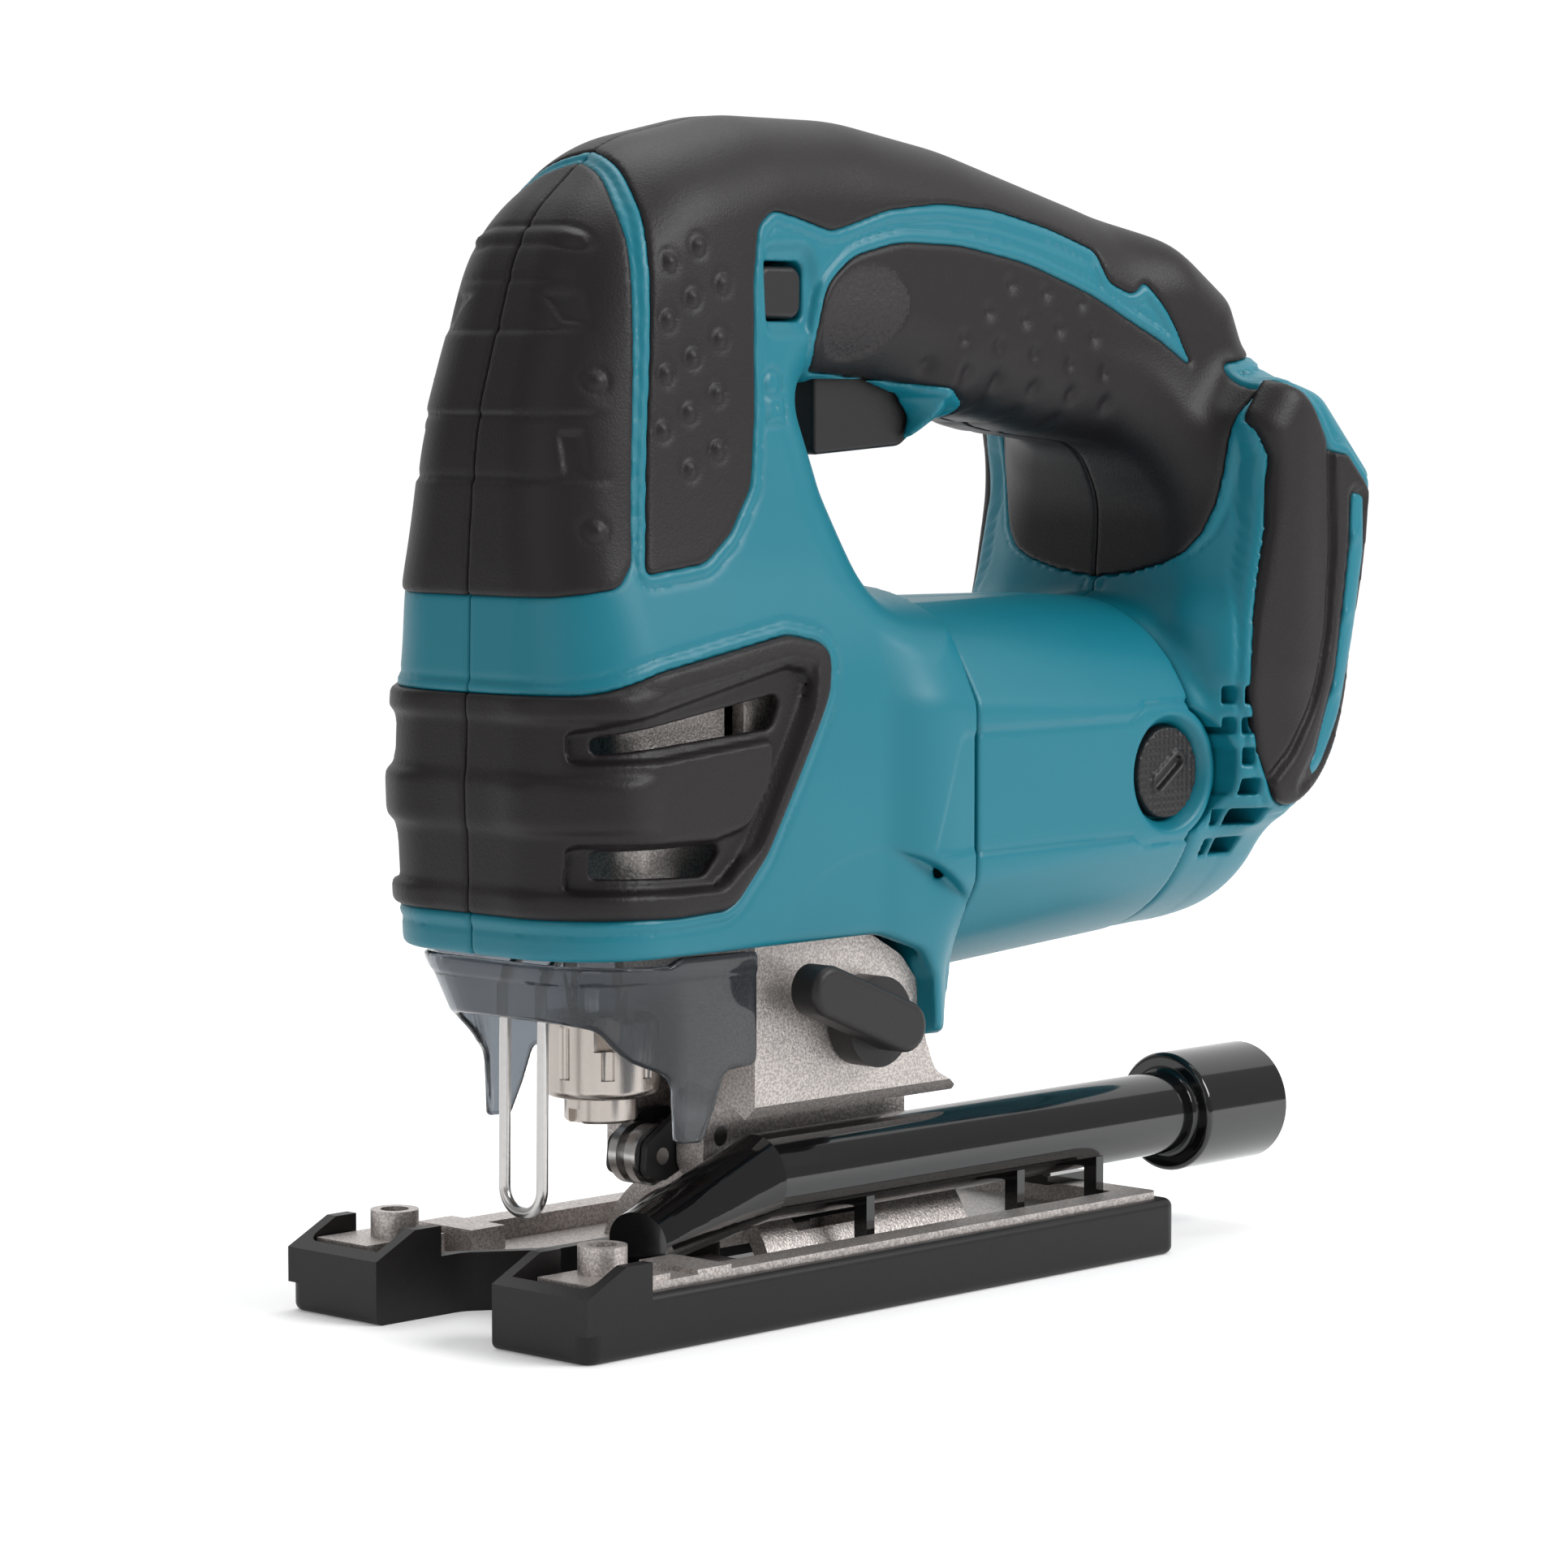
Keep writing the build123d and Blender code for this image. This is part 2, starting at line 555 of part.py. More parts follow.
# ---------------------------------------------------------------- plunger and blade clamp
with BuildPart() as plunger_rod:
    add(along_z(ROD_RADIUS, CLAMP_TOP - 6.0, 149.0, PLUNGER_PLACE))
    chamfer(plunger_rod.edges().group_by(Axis.Z)[-1], 0.6)

with BuildPart() as yoke:
    add(block(35.0, 46.6, -17.2, 17.2, YOKE_REST - 5.6, YOKE_REST + 5.6))
    fillet(yoke.edges().filter_by(Axis.X), 3.0)
    add(block(43.6, 47.6, -15.9, 15.9, YOKE_REST - 3.1, YOKE_REST + 3.1), mode=Mode.SUBTRACT)
    add(block(30, 43.6, -20, -6.5, 80, 120), mode=Mode.SUBTRACT)
    add(block(30, 43.6, 6.5, 20, 80, 120), mode=Mode.SUBTRACT)
    add(along_z(ROD_RADIUS, 80, 120, PLUNGER_PLACE), mode=Mode.SUBTRACT)

with BuildPart() as blade_clamp:
    add(along_z(6.4, 33.0, CLAMP_TOP, PLUNGER_PLACE))
    chamfer(blade_clamp.edges().group_by(Axis.Z)[0], 0.5)
    add(block(PLUNGER_PLACE - 4, PLUNGER_PLACE + 4, -0.9, 0.9, 30, 45), mode=Mode.SUBTRACT)
    add(block(PLUNGER_PLACE - 8, PLUNGER_PLACE - 5.2, -1.6, 1.6, 30, 35.5), mode=Mode.SUBTRACT)
    add(along_z(ROD_RADIUS, CLAMP_TOP - 6.0, CLAMP_TOP + 1, PLUNGER_PLACE), mode=Mode.SUBTRACT)

with BuildPart() as clamp_collar:
    add(along_z(CLAMP_RADIUS, CLAMP_BOTTOM, CLAMP_TOP, PLUNGER_PLACE))
    fillet(clamp_collar.edges().group_by(Axis.Z)[0], 1.6)
    chamfer(clamp_collar.edges().group_by(Axis.Z)[-1], 0.8)
    add(along_z(6.45, 30, 60, PLUNGER_PLACE), mode=Mode.SUBTRACT)
    add(block(PLUNGER_PLACE - 12, PLUNGER_PLACE - 5, -12, -6.5, 46.0, 60), mode=Mode.SUBTRACT)
    with BuildSketch(Plane.XY.offset(41.0)):
        with Locations((behind(PLUNGER_PLACE), 0)):
            with PolarLocations(CLAMP_RADIUS + 0.7, 8, start_angle=8):
                Circle(1.4)
    extrude(amount=9.0, mode=Mode.SUBTRACT)

# ---------------------------------------------------------------- blade guide roller
with BuildPart() as roller_arm:
    for side in (-1, 1):
        with BuildSketch(Plane.XZ.offset(-side * 4.25 - 0.75)):
            with BuildLine():
                FilletPolyline((behind(PIN_PLACE[0]) + 3.6, 33.0), (behind(PIN_PLACE[0]) + 3.6, 25.8),
                               (behind(50), 21.6), (behind(45.2), 22.6), (behind(45.8), 28.5),
                               (behind(53), 33.0), radius=2.0, close=True)
            make_face()
        extrude(amount=1.5)
    add(block(PIN_PLACE[0] - 1, PIN_PLACE[0] + 2.4, -3.6, 3.6, 25.9, 27.0))
    add(along_y(1.85, -6, 6, *PIN_PLACE), mode=Mode.SUBTRACT)
    add(along_y(1.5, -6, 6, *ROLLER_PLACE), mode=Mode.SUBTRACT)

with BuildPart() as roller_pin:
    add(along_y(1.5, -5.2, 5.2, *ROLLER_PLACE))

with BuildPart() as guide_roller:
    add(along_y(5.4, -3.3, 3.3, *ROLLER_PLACE))
    chamfer(guide_roller.edges(), 0.4)
    with BuildSketch(Plane.XZ.offset(-1)):
        with Locations((behind(ROLLER_PLACE[0]), ROLLER_PLACE[1])):
            Circle(7)
            Circle(4.0, mode=Mode.SUBTRACT)
    extrude(amount=2, mode=Mode.SUBTRACT)
    add(along_y(1.55, -6, 6, *ROLLER_PLACE), mode=Mode.SUBTRACT)

# ---------------------------------------------------------------- controls
with BuildPart() as orbital_lever:
    add(along_y(4.0, -25.0, -10.0, *LEVER_PLACE))
    add(along_y(8.0, -29.5, -24.4, *LEVER_PLACE))
    with BuildSketch(Plane.XZ.offset(29.5)):
        with Locations(Location((behind(70.5), 52.4), -22)):
            SlotOverall(30, 9.0)
    extrude(amount=6.0)
    fillet(orbital_lever.faces().sort_by(Axis.Y)[0].edges(), 1.4)

with BuildPart() as trigger:
    add(left_slab([(84.5, 147.6, 1), (84.5, 166, 1), (111.5, 166, 1), (111.5, 152, 3), (107, 149, 4)], 8.0,
                  0.8))
    add(mirror(trigger.part, about=Plane.XZ, mode=Mode.PRIVATE))
    add(along_z(3.2, 158.4, 167, 98), mode=Mode.SUBTRACT)

with BuildPart() as trigger_spring:
    add(spring(2.4, 0.3, 1.9, 10.0, (behind(98), 0, 163.9), (0, 0, 1)))

with BuildPart() as switch_module:
    add(block(85, 119, -8.5, 8.5, 175, 193))
    fillet(switch_module.edges().filter_by(Axis.Z), 2.0)
    add(block(94, 102, -3, 3, 174.4, 176))

with BuildPart() as controller:
    add(block(174, 188, -15, 15, 120, 144))
    fillet(controller.edges().filter_by(Axis.Z), 2.0)
    for rib in range(5):
        add(block(188, 190, -13.7 + 6.2 * rib, -11.1 + 6.2 * rib, 122, 142))

with BuildPart() as lock_button:
    add(prism([(60.7, 171.5, 2.5), (71.3, 171.5, 2.5), (71.4, 180.5, 2.5), (60.7, 180.5, 2.5)], -17.5, 17.5))
    fillet(lock_button.faces().filter_by(Axis.Y).edges(), 1.0)

# ---------------------------------------------------------------- battery terminals
with BuildPart() as terminal_block:
    add(block(195.1, 201, -15, 15, 92, 126))
    fillet(terminal_block.edges().filter_by(Axis.Z), 1.0)
    for row in (-9, -3, 3, 9):
        add(block(197, 202, row - 1.2, row + 1.2, 95, 124), mode=Mode.SUBTRACT)

with BuildPart() as terminal_blades:
    for row in (-9, -3, 3, 9):
        add(block(197, 200.4, row - 0.4, row + 0.4, 97, 118))

# ---------------------------------------------------------------- blade guard wire and dust cover
with BuildPart() as wire_guard:
    with BuildLine() as guard_path:
        FilletPolyline((behind(28), -4.7, 66.0), (behind(21.2), -4.7, 59.0),
                       (behind(GUARD_PLACE + 0.8), -4.7, GUARD_BOTTOM),
                       (behind(GUARD_PLACE + 0.8), 4.7, GUARD_BOTTOM), (behind(21.2), 4.7, 59.0),
                       (behind(28), 4.7, 66.0), radius=[5.0, 4.4, 4.4, 5.0])
    with BuildSketch(Plane(origin=guard_path.line @ 0, z_dir=guard_path.line % 0)):
        Circle(1.0)
    sweep()
    with Locations((behind(28), 0, 76)):
        Box(30, 30, 20, mode=Mode.SUBTRACT)


def cover_wall(inset, rear, low, high):
    """Solid of the dust cover's plan, drawn inwards by inset."""
    with BuildPart() as wall:
        with BuildSketch(Plane.XY.offset(low)):
            with BuildLine():
                FilletPolyline((behind(rear), -25.2 + inset), (behind(12.8 + inset), -25.2 + inset),
                               (behind(12.8 + inset), 25.2 - inset), (behind(rear), 25.2 - inset),
                               radius=[0.2, 13 - inset, 13 - inset, 0.2], close=True)
            make_face()
        extrude(amount=high - low)
    return wall.part


with BuildPart() as dust_cover:
    add(cover_wall(0.0, 51.5, 46.5, 63.5))
    for side in (-1, 1):
        add(block(36, 50, min(side * 23.3, side * 25.2), max(side * 23.3, side * 25.2), 34.5, 47))
    add(cover_wall(1.9, 53.0, 45.0, 65.0), mode=Mode.SUBTRACT)

# ---------------------------------------------------------------- shoe
def sole_plan(inset, height, thickness, slot_inset=None):
    """Plate of the shoe's plan shape with its blade slot, drawn inwards by inset."""
    gap = inset if slot_inset is None else slot_inset
    with BuildPart() as plate:
        with BuildSketch(Plane.XY.offset(height)):
            with Locations((behind(SOLE_LENGTH / 2), 0)):
                RectangleRounded(SOLE_LENGTH - 2 * inset, SOLE_WIDTH - 2 * inset, SOLE_CORNER - inset / 4)
            with BuildLine():
                FilletPolyline((behind(-5), -TOE_GAP - gap), (behind(20), -TOE_GAP - gap),
                               (behind(33), -SLOT_HALF - gap),
                               (behind(BLADE_SLOT_END + gap), -SLOT_HALF - gap),
                               (behind(BLADE_SLOT_END + gap), SLOT_HALF + gap),
                               (behind(33), SLOT_HALF + gap),
                               (behind(20), TOE_GAP + gap), (behind(-5), TOE_GAP + gap),
                               radius=[0.3, 6, 6, 3, 3, 6, 6, 0.3], close=True)
            make_face(mode=Mode.SUBTRACT)
        extrude(amount=thickness)
    return plate.part


def front_slope(angle_top):
    """Wedge of space above the sloping front of a toe."""
    with BuildPart() as space:
        with BuildSketch(Plane.XZ.offset(-60)):
            with BuildLine():
                Polyline((behind(-2), COVER_HEIGHT - 0.2), (behind(9), angle_top), (behind(9), 40),
                         (behind(-2), 40), close=True)
            make_face()
        extrude(amount=120)
    return space.part


with BuildPart() as sole_cover:
    add(sole_plan(0.0, 0.0, COVER_HEIGHT))
    fillet(sole_cover.edges().filter_by(Axis.Y).group_by(Axis.X)[-1], 1.5)
    for side in (-1, 1):
        add(block(0, 15, side * 26 - 11.5, side * 26 + 11.5, 5, TOE_TOP))
    add(front_slope(TOE_TOP), mode=Mode.SUBTRACT)
    add(sole_plan(COVER_WALL, COVER_FLOOR, 40), mode=Mode.SUBTRACT)
    for side in (-1, 1):
        add(block(13.6, 25.0, side * 26 - 6.3, side * 26 + 12, COVER_FLOOR, 30), mode=Mode.SUBTRACT)
    for side in (-1, 1):
        add(along_z(6.5, -1, 5, FENCE_PLACE[0], side * FENCE_PLACE[1]), mode=Mode.SUBTRACT)
    add(block(60 - SLIDE_TRAVEL, 100, -PLATE_OPENING, PLATE_OPENING, -1, 5), mode=Mode.SUBTRACT)

with BuildPart() as base_casting:
    add(sole_plan(COVER_WALL + 0.05, COVER_FLOOR, CASTING_RIM - COVER_FLOOR))
    add(block(8, 142, -29, 29, CASTING_TOP, 30), mode=Mode.SUBTRACT)
    add(block(-2, 17, -40, 40, 9.0, 30), mode=Mode.SUBTRACT)
    for side in (-1, 1):
        add(block(4, 22, min(side * 21.4, side * 34.5), max(side * 21.4, side * 34.5), 5, 12.6))
        add(along_z(4.2, 8, 17.3, FENCE_PLACE[0], side * FENCE_PLACE[1]))
        add(block(28, 36, min(side * 21, side * 35), max(side * 21, side * 35), 7, 12.4))
    add(sole_cover.part, mode=Mode.SUBTRACT)
    add(along_x(HUMP_RADIUS, 60, 112, z=0.0))
    with Locations((behind(SOLE_LENGTH / 2), 0, -50 + 2.0)):
        Box(300, 200, 100, mode=Mode.SUBTRACT)
    add(along_x(HUMP_RADIUS - HUMP_THICKNESS, 58, 114, z=0.0), mode=Mode.SUBTRACT)
    add(block(69, 89, -18.8, 18.8, 8.5, 40), mode=Mode.SUBTRACT)
    for side in (-1, 1):
        add(along_z(2.5, 0, 20, FENCE_PLACE[0], side * FENCE_PLACE[1]), mode=Mode.SUBTRACT)
        add(block(7.0, 22.1, min(side * 30.5, side * 40), max(side * 30.5, side * 40), 3.4, 9.4),
            mode=Mode.SUBTRACT)

with BuildPart() as bevel_plate:
    add(along_x(HUMP_RADIUS - HUMP_THICKNESS - 0.3, 62, 98, z=0.0, bore=HUMP_RADIUS - HUMP_THICKNESS - 3.3))
    with Locations((behind(80), 0, 12.6 - 50)):
        Box(80, 80, 100, mode=Mode.SUBTRACT)
    add(block(69.5, 88.5, -3.4, 3.4, 0, 40), mode=Mode.SUBTRACT)

with BuildPart() as dust_nozzle:
    add(along_x(NOZZLE_RADIUS, 56, 170, y=NOZZLE_Y, z=NOZZLE_HEIGHT))
    add(along_x(11.2, 166.5, 189.5, y=NOZZLE_Y, z=NOZZLE_HEIGHT))
    fillet(dust_nozzle.edges().filter_by(GeomType.CIRCLE).group_by(Axis.X)[-2], 1.0)
    with BuildSketch(Plane.YZ.offset(behind(56))):
        with Locations((NOZZLE_Y, NOZZLE_HEIGHT)):
            Circle(NOZZLE_RADIUS)
    with BuildSketch(Plane.YZ.offset(behind(34))):
        with Locations((-14.5, 14.0)):
            Ellipse(7.0, 5.0)
    loft()
    add(along_x(NOZZLE_RADIUS - 1.6, 58, 190, y=NOZZLE_Y, z=NOZZLE_HEIGHT), mode=Mode.SUBTRACT)
    add(along_x(9.6, 172, 190, y=NOZZLE_Y, z=NOZZLE_HEIGHT), mode=Mode.SUBTRACT)
    for place in (78, 118, 140):
        add(block(place, place + 2, -27, -24, CASTING_TOP, 18))
    add(sole_cover.part, mode=Mode.SUBTRACT)
    add(base_casting.part, mode=Mode.SUBTRACT)

with BuildPart() as rear_clip:
    add(block(139, 150.5, -16, -4, CASTING_RIM, CASTING_RIM + 1.6))
    add(block(148.8, 150.5, -16, -4, COVER_HEIGHT + 0.1, CASTING_RIM))
    with Locations((behind(144), -9, CASTING_RIM + 2)):
        Cylinder(2.6, 1.8)

pieces = dict(
    housing_left=housing_left, housing_right=housing_right, front_pad_left=front_pad_left,
    front_pad_right=front_pad_right, nose_bumper_left=nose_bumper_left,
    nose_bumper_right=nose_bumper_right, grip_left=grip_left, grip_right=grip_right,
    mount_pad_left=mount_pad_left, mount_pad_right=mount_pad_right, housing_screws=housing_screws,
    motor_housing=motor_housing, motor_screws=motor_screws, stator_can=stator_can, magnets=magnets,
    front_bearing=front_bearing, rear_bearing=rear_bearing, brush_holders=brush_holders,
    brushes=brushes, brush_springs=brush_springs, brush_caps=brush_caps, gear_housing=gear_housing,
    gear_shaft=gear_shaft, plunger_bushes=plunger_bushes, roller_arm_pin=roller_arm_pin,
    bevel_bolt=bevel_bolt, switch_module=switch_module, controller=controller,
    terminal_block=terminal_block, terminal_blades=terminal_blades, wire_guard=wire_guard,
    armature_shaft=armature_shaft, armature_core=armature_core, windings=windings,
    commutator=commutator, cooling_fan=cooling_fan, crank_gear=crank_gear, crank_pin=crank_pin,
    plunger_rod=plunger_rod, yoke=yoke, blade_clamp=blade_clamp, clamp_collar=clamp_collar,
    counterweight=counterweight, roller_arm=roller_arm, roller_pin=roller_pin,
    guide_roller=guide_roller, orbital_lever=orbital_lever, trigger=trigger,
    trigger_spring=trigger_spring, lock_button=lock_button, dust_cover=dust_cover,
    sole_cover=sole_cover, base_casting=base_casting, bevel_plate=bevel_plate,
    dust_nozzle=dust_nozzle, rear_clip=rear_clip)

os.makedirs("parts", exist_ok=True)
for name, piece in pieces.items():
    piece.part.label = name
    export_step(piece.part, f"parts/{name}.step")
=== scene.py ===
"""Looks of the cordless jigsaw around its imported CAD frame.

Shapes are worked out in millimetres: d behind the sole's front edge, w out from the centre plane, z up.
"""
import json
from math import cos, radians, sin

import bpy
import numpy as np
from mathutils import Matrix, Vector


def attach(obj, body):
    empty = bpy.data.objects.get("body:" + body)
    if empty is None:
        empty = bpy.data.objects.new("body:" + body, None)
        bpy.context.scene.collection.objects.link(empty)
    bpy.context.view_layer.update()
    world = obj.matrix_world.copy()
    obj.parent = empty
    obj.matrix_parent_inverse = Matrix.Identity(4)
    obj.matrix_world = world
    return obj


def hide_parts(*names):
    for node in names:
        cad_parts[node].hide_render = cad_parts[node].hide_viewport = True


HALF_LENGTH = 106.0
STEP = 0.6
FINE = 0.36
MM = 0.001
VIEW_TURN = -46.0
VIEW_DROP = 4.71
SIDES = ((-1, "left"), (1, "right"))

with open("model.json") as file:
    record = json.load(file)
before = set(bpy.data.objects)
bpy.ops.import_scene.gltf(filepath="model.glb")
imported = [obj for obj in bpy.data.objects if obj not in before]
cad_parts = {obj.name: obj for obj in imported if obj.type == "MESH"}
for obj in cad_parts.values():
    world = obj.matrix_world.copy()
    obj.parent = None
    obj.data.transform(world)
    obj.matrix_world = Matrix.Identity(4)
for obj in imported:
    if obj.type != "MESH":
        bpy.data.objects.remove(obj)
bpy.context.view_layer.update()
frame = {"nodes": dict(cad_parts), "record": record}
nodes = frame["nodes"]


# ---------------------------------------------------------------- distance fields
class Grid:
    """Regular grid of sample points over a box."""

    def __init__(self, low, high, step):
        self.low = np.array(low, float)
        self.step = step
        counts = [int((b - a) / step) + 2 for a, b in zip(low, high)]
        axes = [low[k] + step * np.arange(counts[k]) for k in range(3)]
        self.d = axes[0].astype(np.float32)[:, None, None]
        self.w = axes[1].astype(np.float32)[None, :, None]
        self.z = axes[2].astype(np.float32)[None, None, :]

    def side(self):
        """The grid's places seen from the side."""
        return self.d, self.z


def arcs(points):
    """Closed outline from (a, b, corner radius) triples, its corners rounded by short chords."""
    out = []
    count = len(points)
    for k in range(count):
        here = np.array(points[k][:2], float)
        before = np.array(points[k - 1][:2], float) - here
        after = np.array(points[(k + 1) % count][:2], float) - here
        lb, la = np.linalg.norm(before), np.linalg.norm(after)
        before, after = before / lb, after / la
        half = np.arccos(np.clip(before @ after, -1, 1)) / 2
        cut = points[k][2] / max(np.tan(half), 1e-6)
        cut = min(cut, 0.49 * lb, 0.49 * la)
        if cut < 0.05 or half > 1.55:
            out.append(here)
            continue
        start, end = here + before * cut, here + after * cut
        for t in np.linspace(0, 1, 13):
            out.append((1 - t) ** 2 * start + 2 * t * (1 - t) * here + t * t * end)
    return np.array(out)


def outline(places, points):
    """Signed distance to a rounded outline, negative inside it."""
    a, b = np.broadcast_arrays(*places)
    line = arcs(points)
    nearest = np.full(a.shape, 1e9, np.float32)
    inside = np.zeros(a.shape, bool)
    for k in range(len(line)):
        (x0, y0), (x1, y1) = line[k - 1], line[k]
        ex, ey = x1 - x0, y1 - y0
        length = ex * ex + ey * ey
        if length < 1e-9:
            continue
        px, py = a - x0, b - y0
        t = np.clip((px * ex + py * ey) / length, 0, 1)
        nearest = np.minimum(nearest, (px - t * ex) ** 2 + (py - t * ey) ** 2)
        if abs(ey) > 1e-9:
            crosses = (y0 > b) != (y1 > b)
            inside ^= crosses & (a < ex * (b - y0) / ey + x0)
    nearest = np.sqrt(nearest)
    return np.where(inside, -nearest, nearest).astype(np.float32)


def union(a, b, blend=0.0):
    """Smaller of two fields, their joint rounded."""
    if blend <= 0:
        return np.minimum(a, b)
    h = np.maximum(blend - np.abs(a - b), 0) / blend
    return np.minimum(a, b) - h * h * blend / 4


def common(a, b, blend=0.0):
    """Larger of two fields, their edge rounded."""
    return -union(-a, -b, blend)


def slab(profile, across, radius):
    """Body whose outline is profile and whose reach is across, its edge rounded."""
    p, q = profile + radius, across + radius
    return np.sqrt(np.maximum(p, 0) ** 2 + np.maximum(q, 0) ** 2) + np.minimum(np.maximum(p, q), 0) - radius


def ease(value, low, high):
    """0 below low, 1 above high, smooth between."""
    t = np.clip((value - low) / (high - low), 0, 1)
    return t * t * (3 - 2 * t)


def box(grid, low, high):
    """Field of a box between two corners."""
    parts = [np.abs(axis - (low[k] + high[k]) / 2) - (high[k] - low[k]) / 2
             for k, axis in enumerate((grid.d, grid.w, grid.z))]
    return np.maximum(np.maximum(parts[0], parts[1]), parts[2])


def sample(field, grid, places):
    """Field's value at places, between the grid's points."""
    p = (places - grid.low) / grid.step
    base = np.clip(np.floor(p).astype(int), 0, np.array(field.shape) - 2)
    f = p - base
    total = 0
    for corner in range(8):
        o = np.array([corner & 1, corner >> 1 & 1, corner >> 2 & 1])
        weight = np.prod(np.where(o, f, 1 - f), axis=1)
        i = base + o
        total = total + weight * field[i[:, 0], i[:, 1], i[:, 2]]
    return total


def skin(field, grid):
    """Points and quads of the surface where the field is zero."""
    solid = field < 0
    nd, nw, nz = [size - 1 for size in solid.shape]
    count = sum(solid[i:nd + i, j:nw + j, k:nz + k].astype(np.int8)
                for i in (0, 1) for j in (0, 1) for k in (0, 1))
    mixed = (count > 0) & (count < 8)
    index = np.full(mixed.shape, -1, np.int64)
    cells = np.argwhere(mixed)
    index[mixed] = np.arange(len(cells))
    points, hits = np.zeros((len(cells), 3)), np.zeros(len(cells))
    for axis in range(3):
        others = [k for k in range(3) if k != axis]
        for i in (0, 1):
            for j in (0, 1):
                a = cells.copy()
                a[:, others[0]] += i
                a[:, others[1]] += j
                b = a.copy()
                b[:, axis] += 1
                fa, fb = field[tuple(a.T)], field[tuple(b.T)]
                cut = (fa < 0) != (fb < 0)
                t = np.where(cut, fa / np.where(cut, fa - fb, 1), 0)
                place = a.astype(float)
                place[:, axis] += t
                points[cut] += place[cut]
                hits += cut
    points = points / hits[:, None] * grid.step + grid.low
    for _ in range(2):
        value = sample(field, grid, points)
        slope = np.stack([(sample(field, grid, points + e) - sample(field, grid, points - e)) / grid.step
                          for e in np.eye(3) * grid.step / 2], axis=1)
        size = np.maximum((slope ** 2).sum(1), 0.2)
        points -= np.clip(value / size, -0.4, 0.4)[:, None] * slope * 0.8
    quads = []
    for axis in range(3):
        a, b = [k for k in range(3) if k != axis]
        near = [slice(None)] * 3
        far = [slice(None)] * 3
        near[axis], far[axis] = slice(0, -1), slice(1, None)
        flips = solid[tuple(near)] != solid[tuple(far)]
        edges = np.argwhere(flips)
        keep = (edges[:, a] > 0) & (edges[:, b] > 0)
        keep &= (edges[:, a] < mixed.shape[a]) & (edges[:, b] < mixed.shape[b])
        edges = edges[keep]
        ring = []
        for da, db in ((1, 1), (0, 1), (0, 0), (1, 0)):
            cell = edges.copy()
            cell[:, a] -= da
            cell[:, b] -= db
            ring.append(index[tuple(cell.T)])
        ring = np.stack(ring, axis=1)
        outward = solid[tuple(edges.T)]
        if axis == 1:
            outward = ~outward
        ring[~outward] = ring[~outward][:, ::-1]
        quads.append(ring)
    return points, np.concatenate(quads)


def piece(name, points, quads, body, look, side=-1):
    """Mesh object in the row frame; side -1 is the tool's left."""
    row = np.stack([points[:, 0] - HALF_LENGTH, side * points[:, 1], points[:, 2]], axis=1) * MM
    faces = quads[:, ::-1] if side < 0 else quads
    used = np.unique(faces)
    renumber = np.full(len(row), -1)
    renumber[used] = np.arange(len(used))
    mesh = bpy.data.meshes.new(name)
    mesh.from_pydata(row[used].tolist(), [], renumber[faces].tolist())
    mesh.shade_smooth()
    mesh.materials.append(look)
    thing = bpy.data.objects.new(name, mesh)
    bpy.context.scene.collection.objects.link(thing)
    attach(thing, body)
    return thing


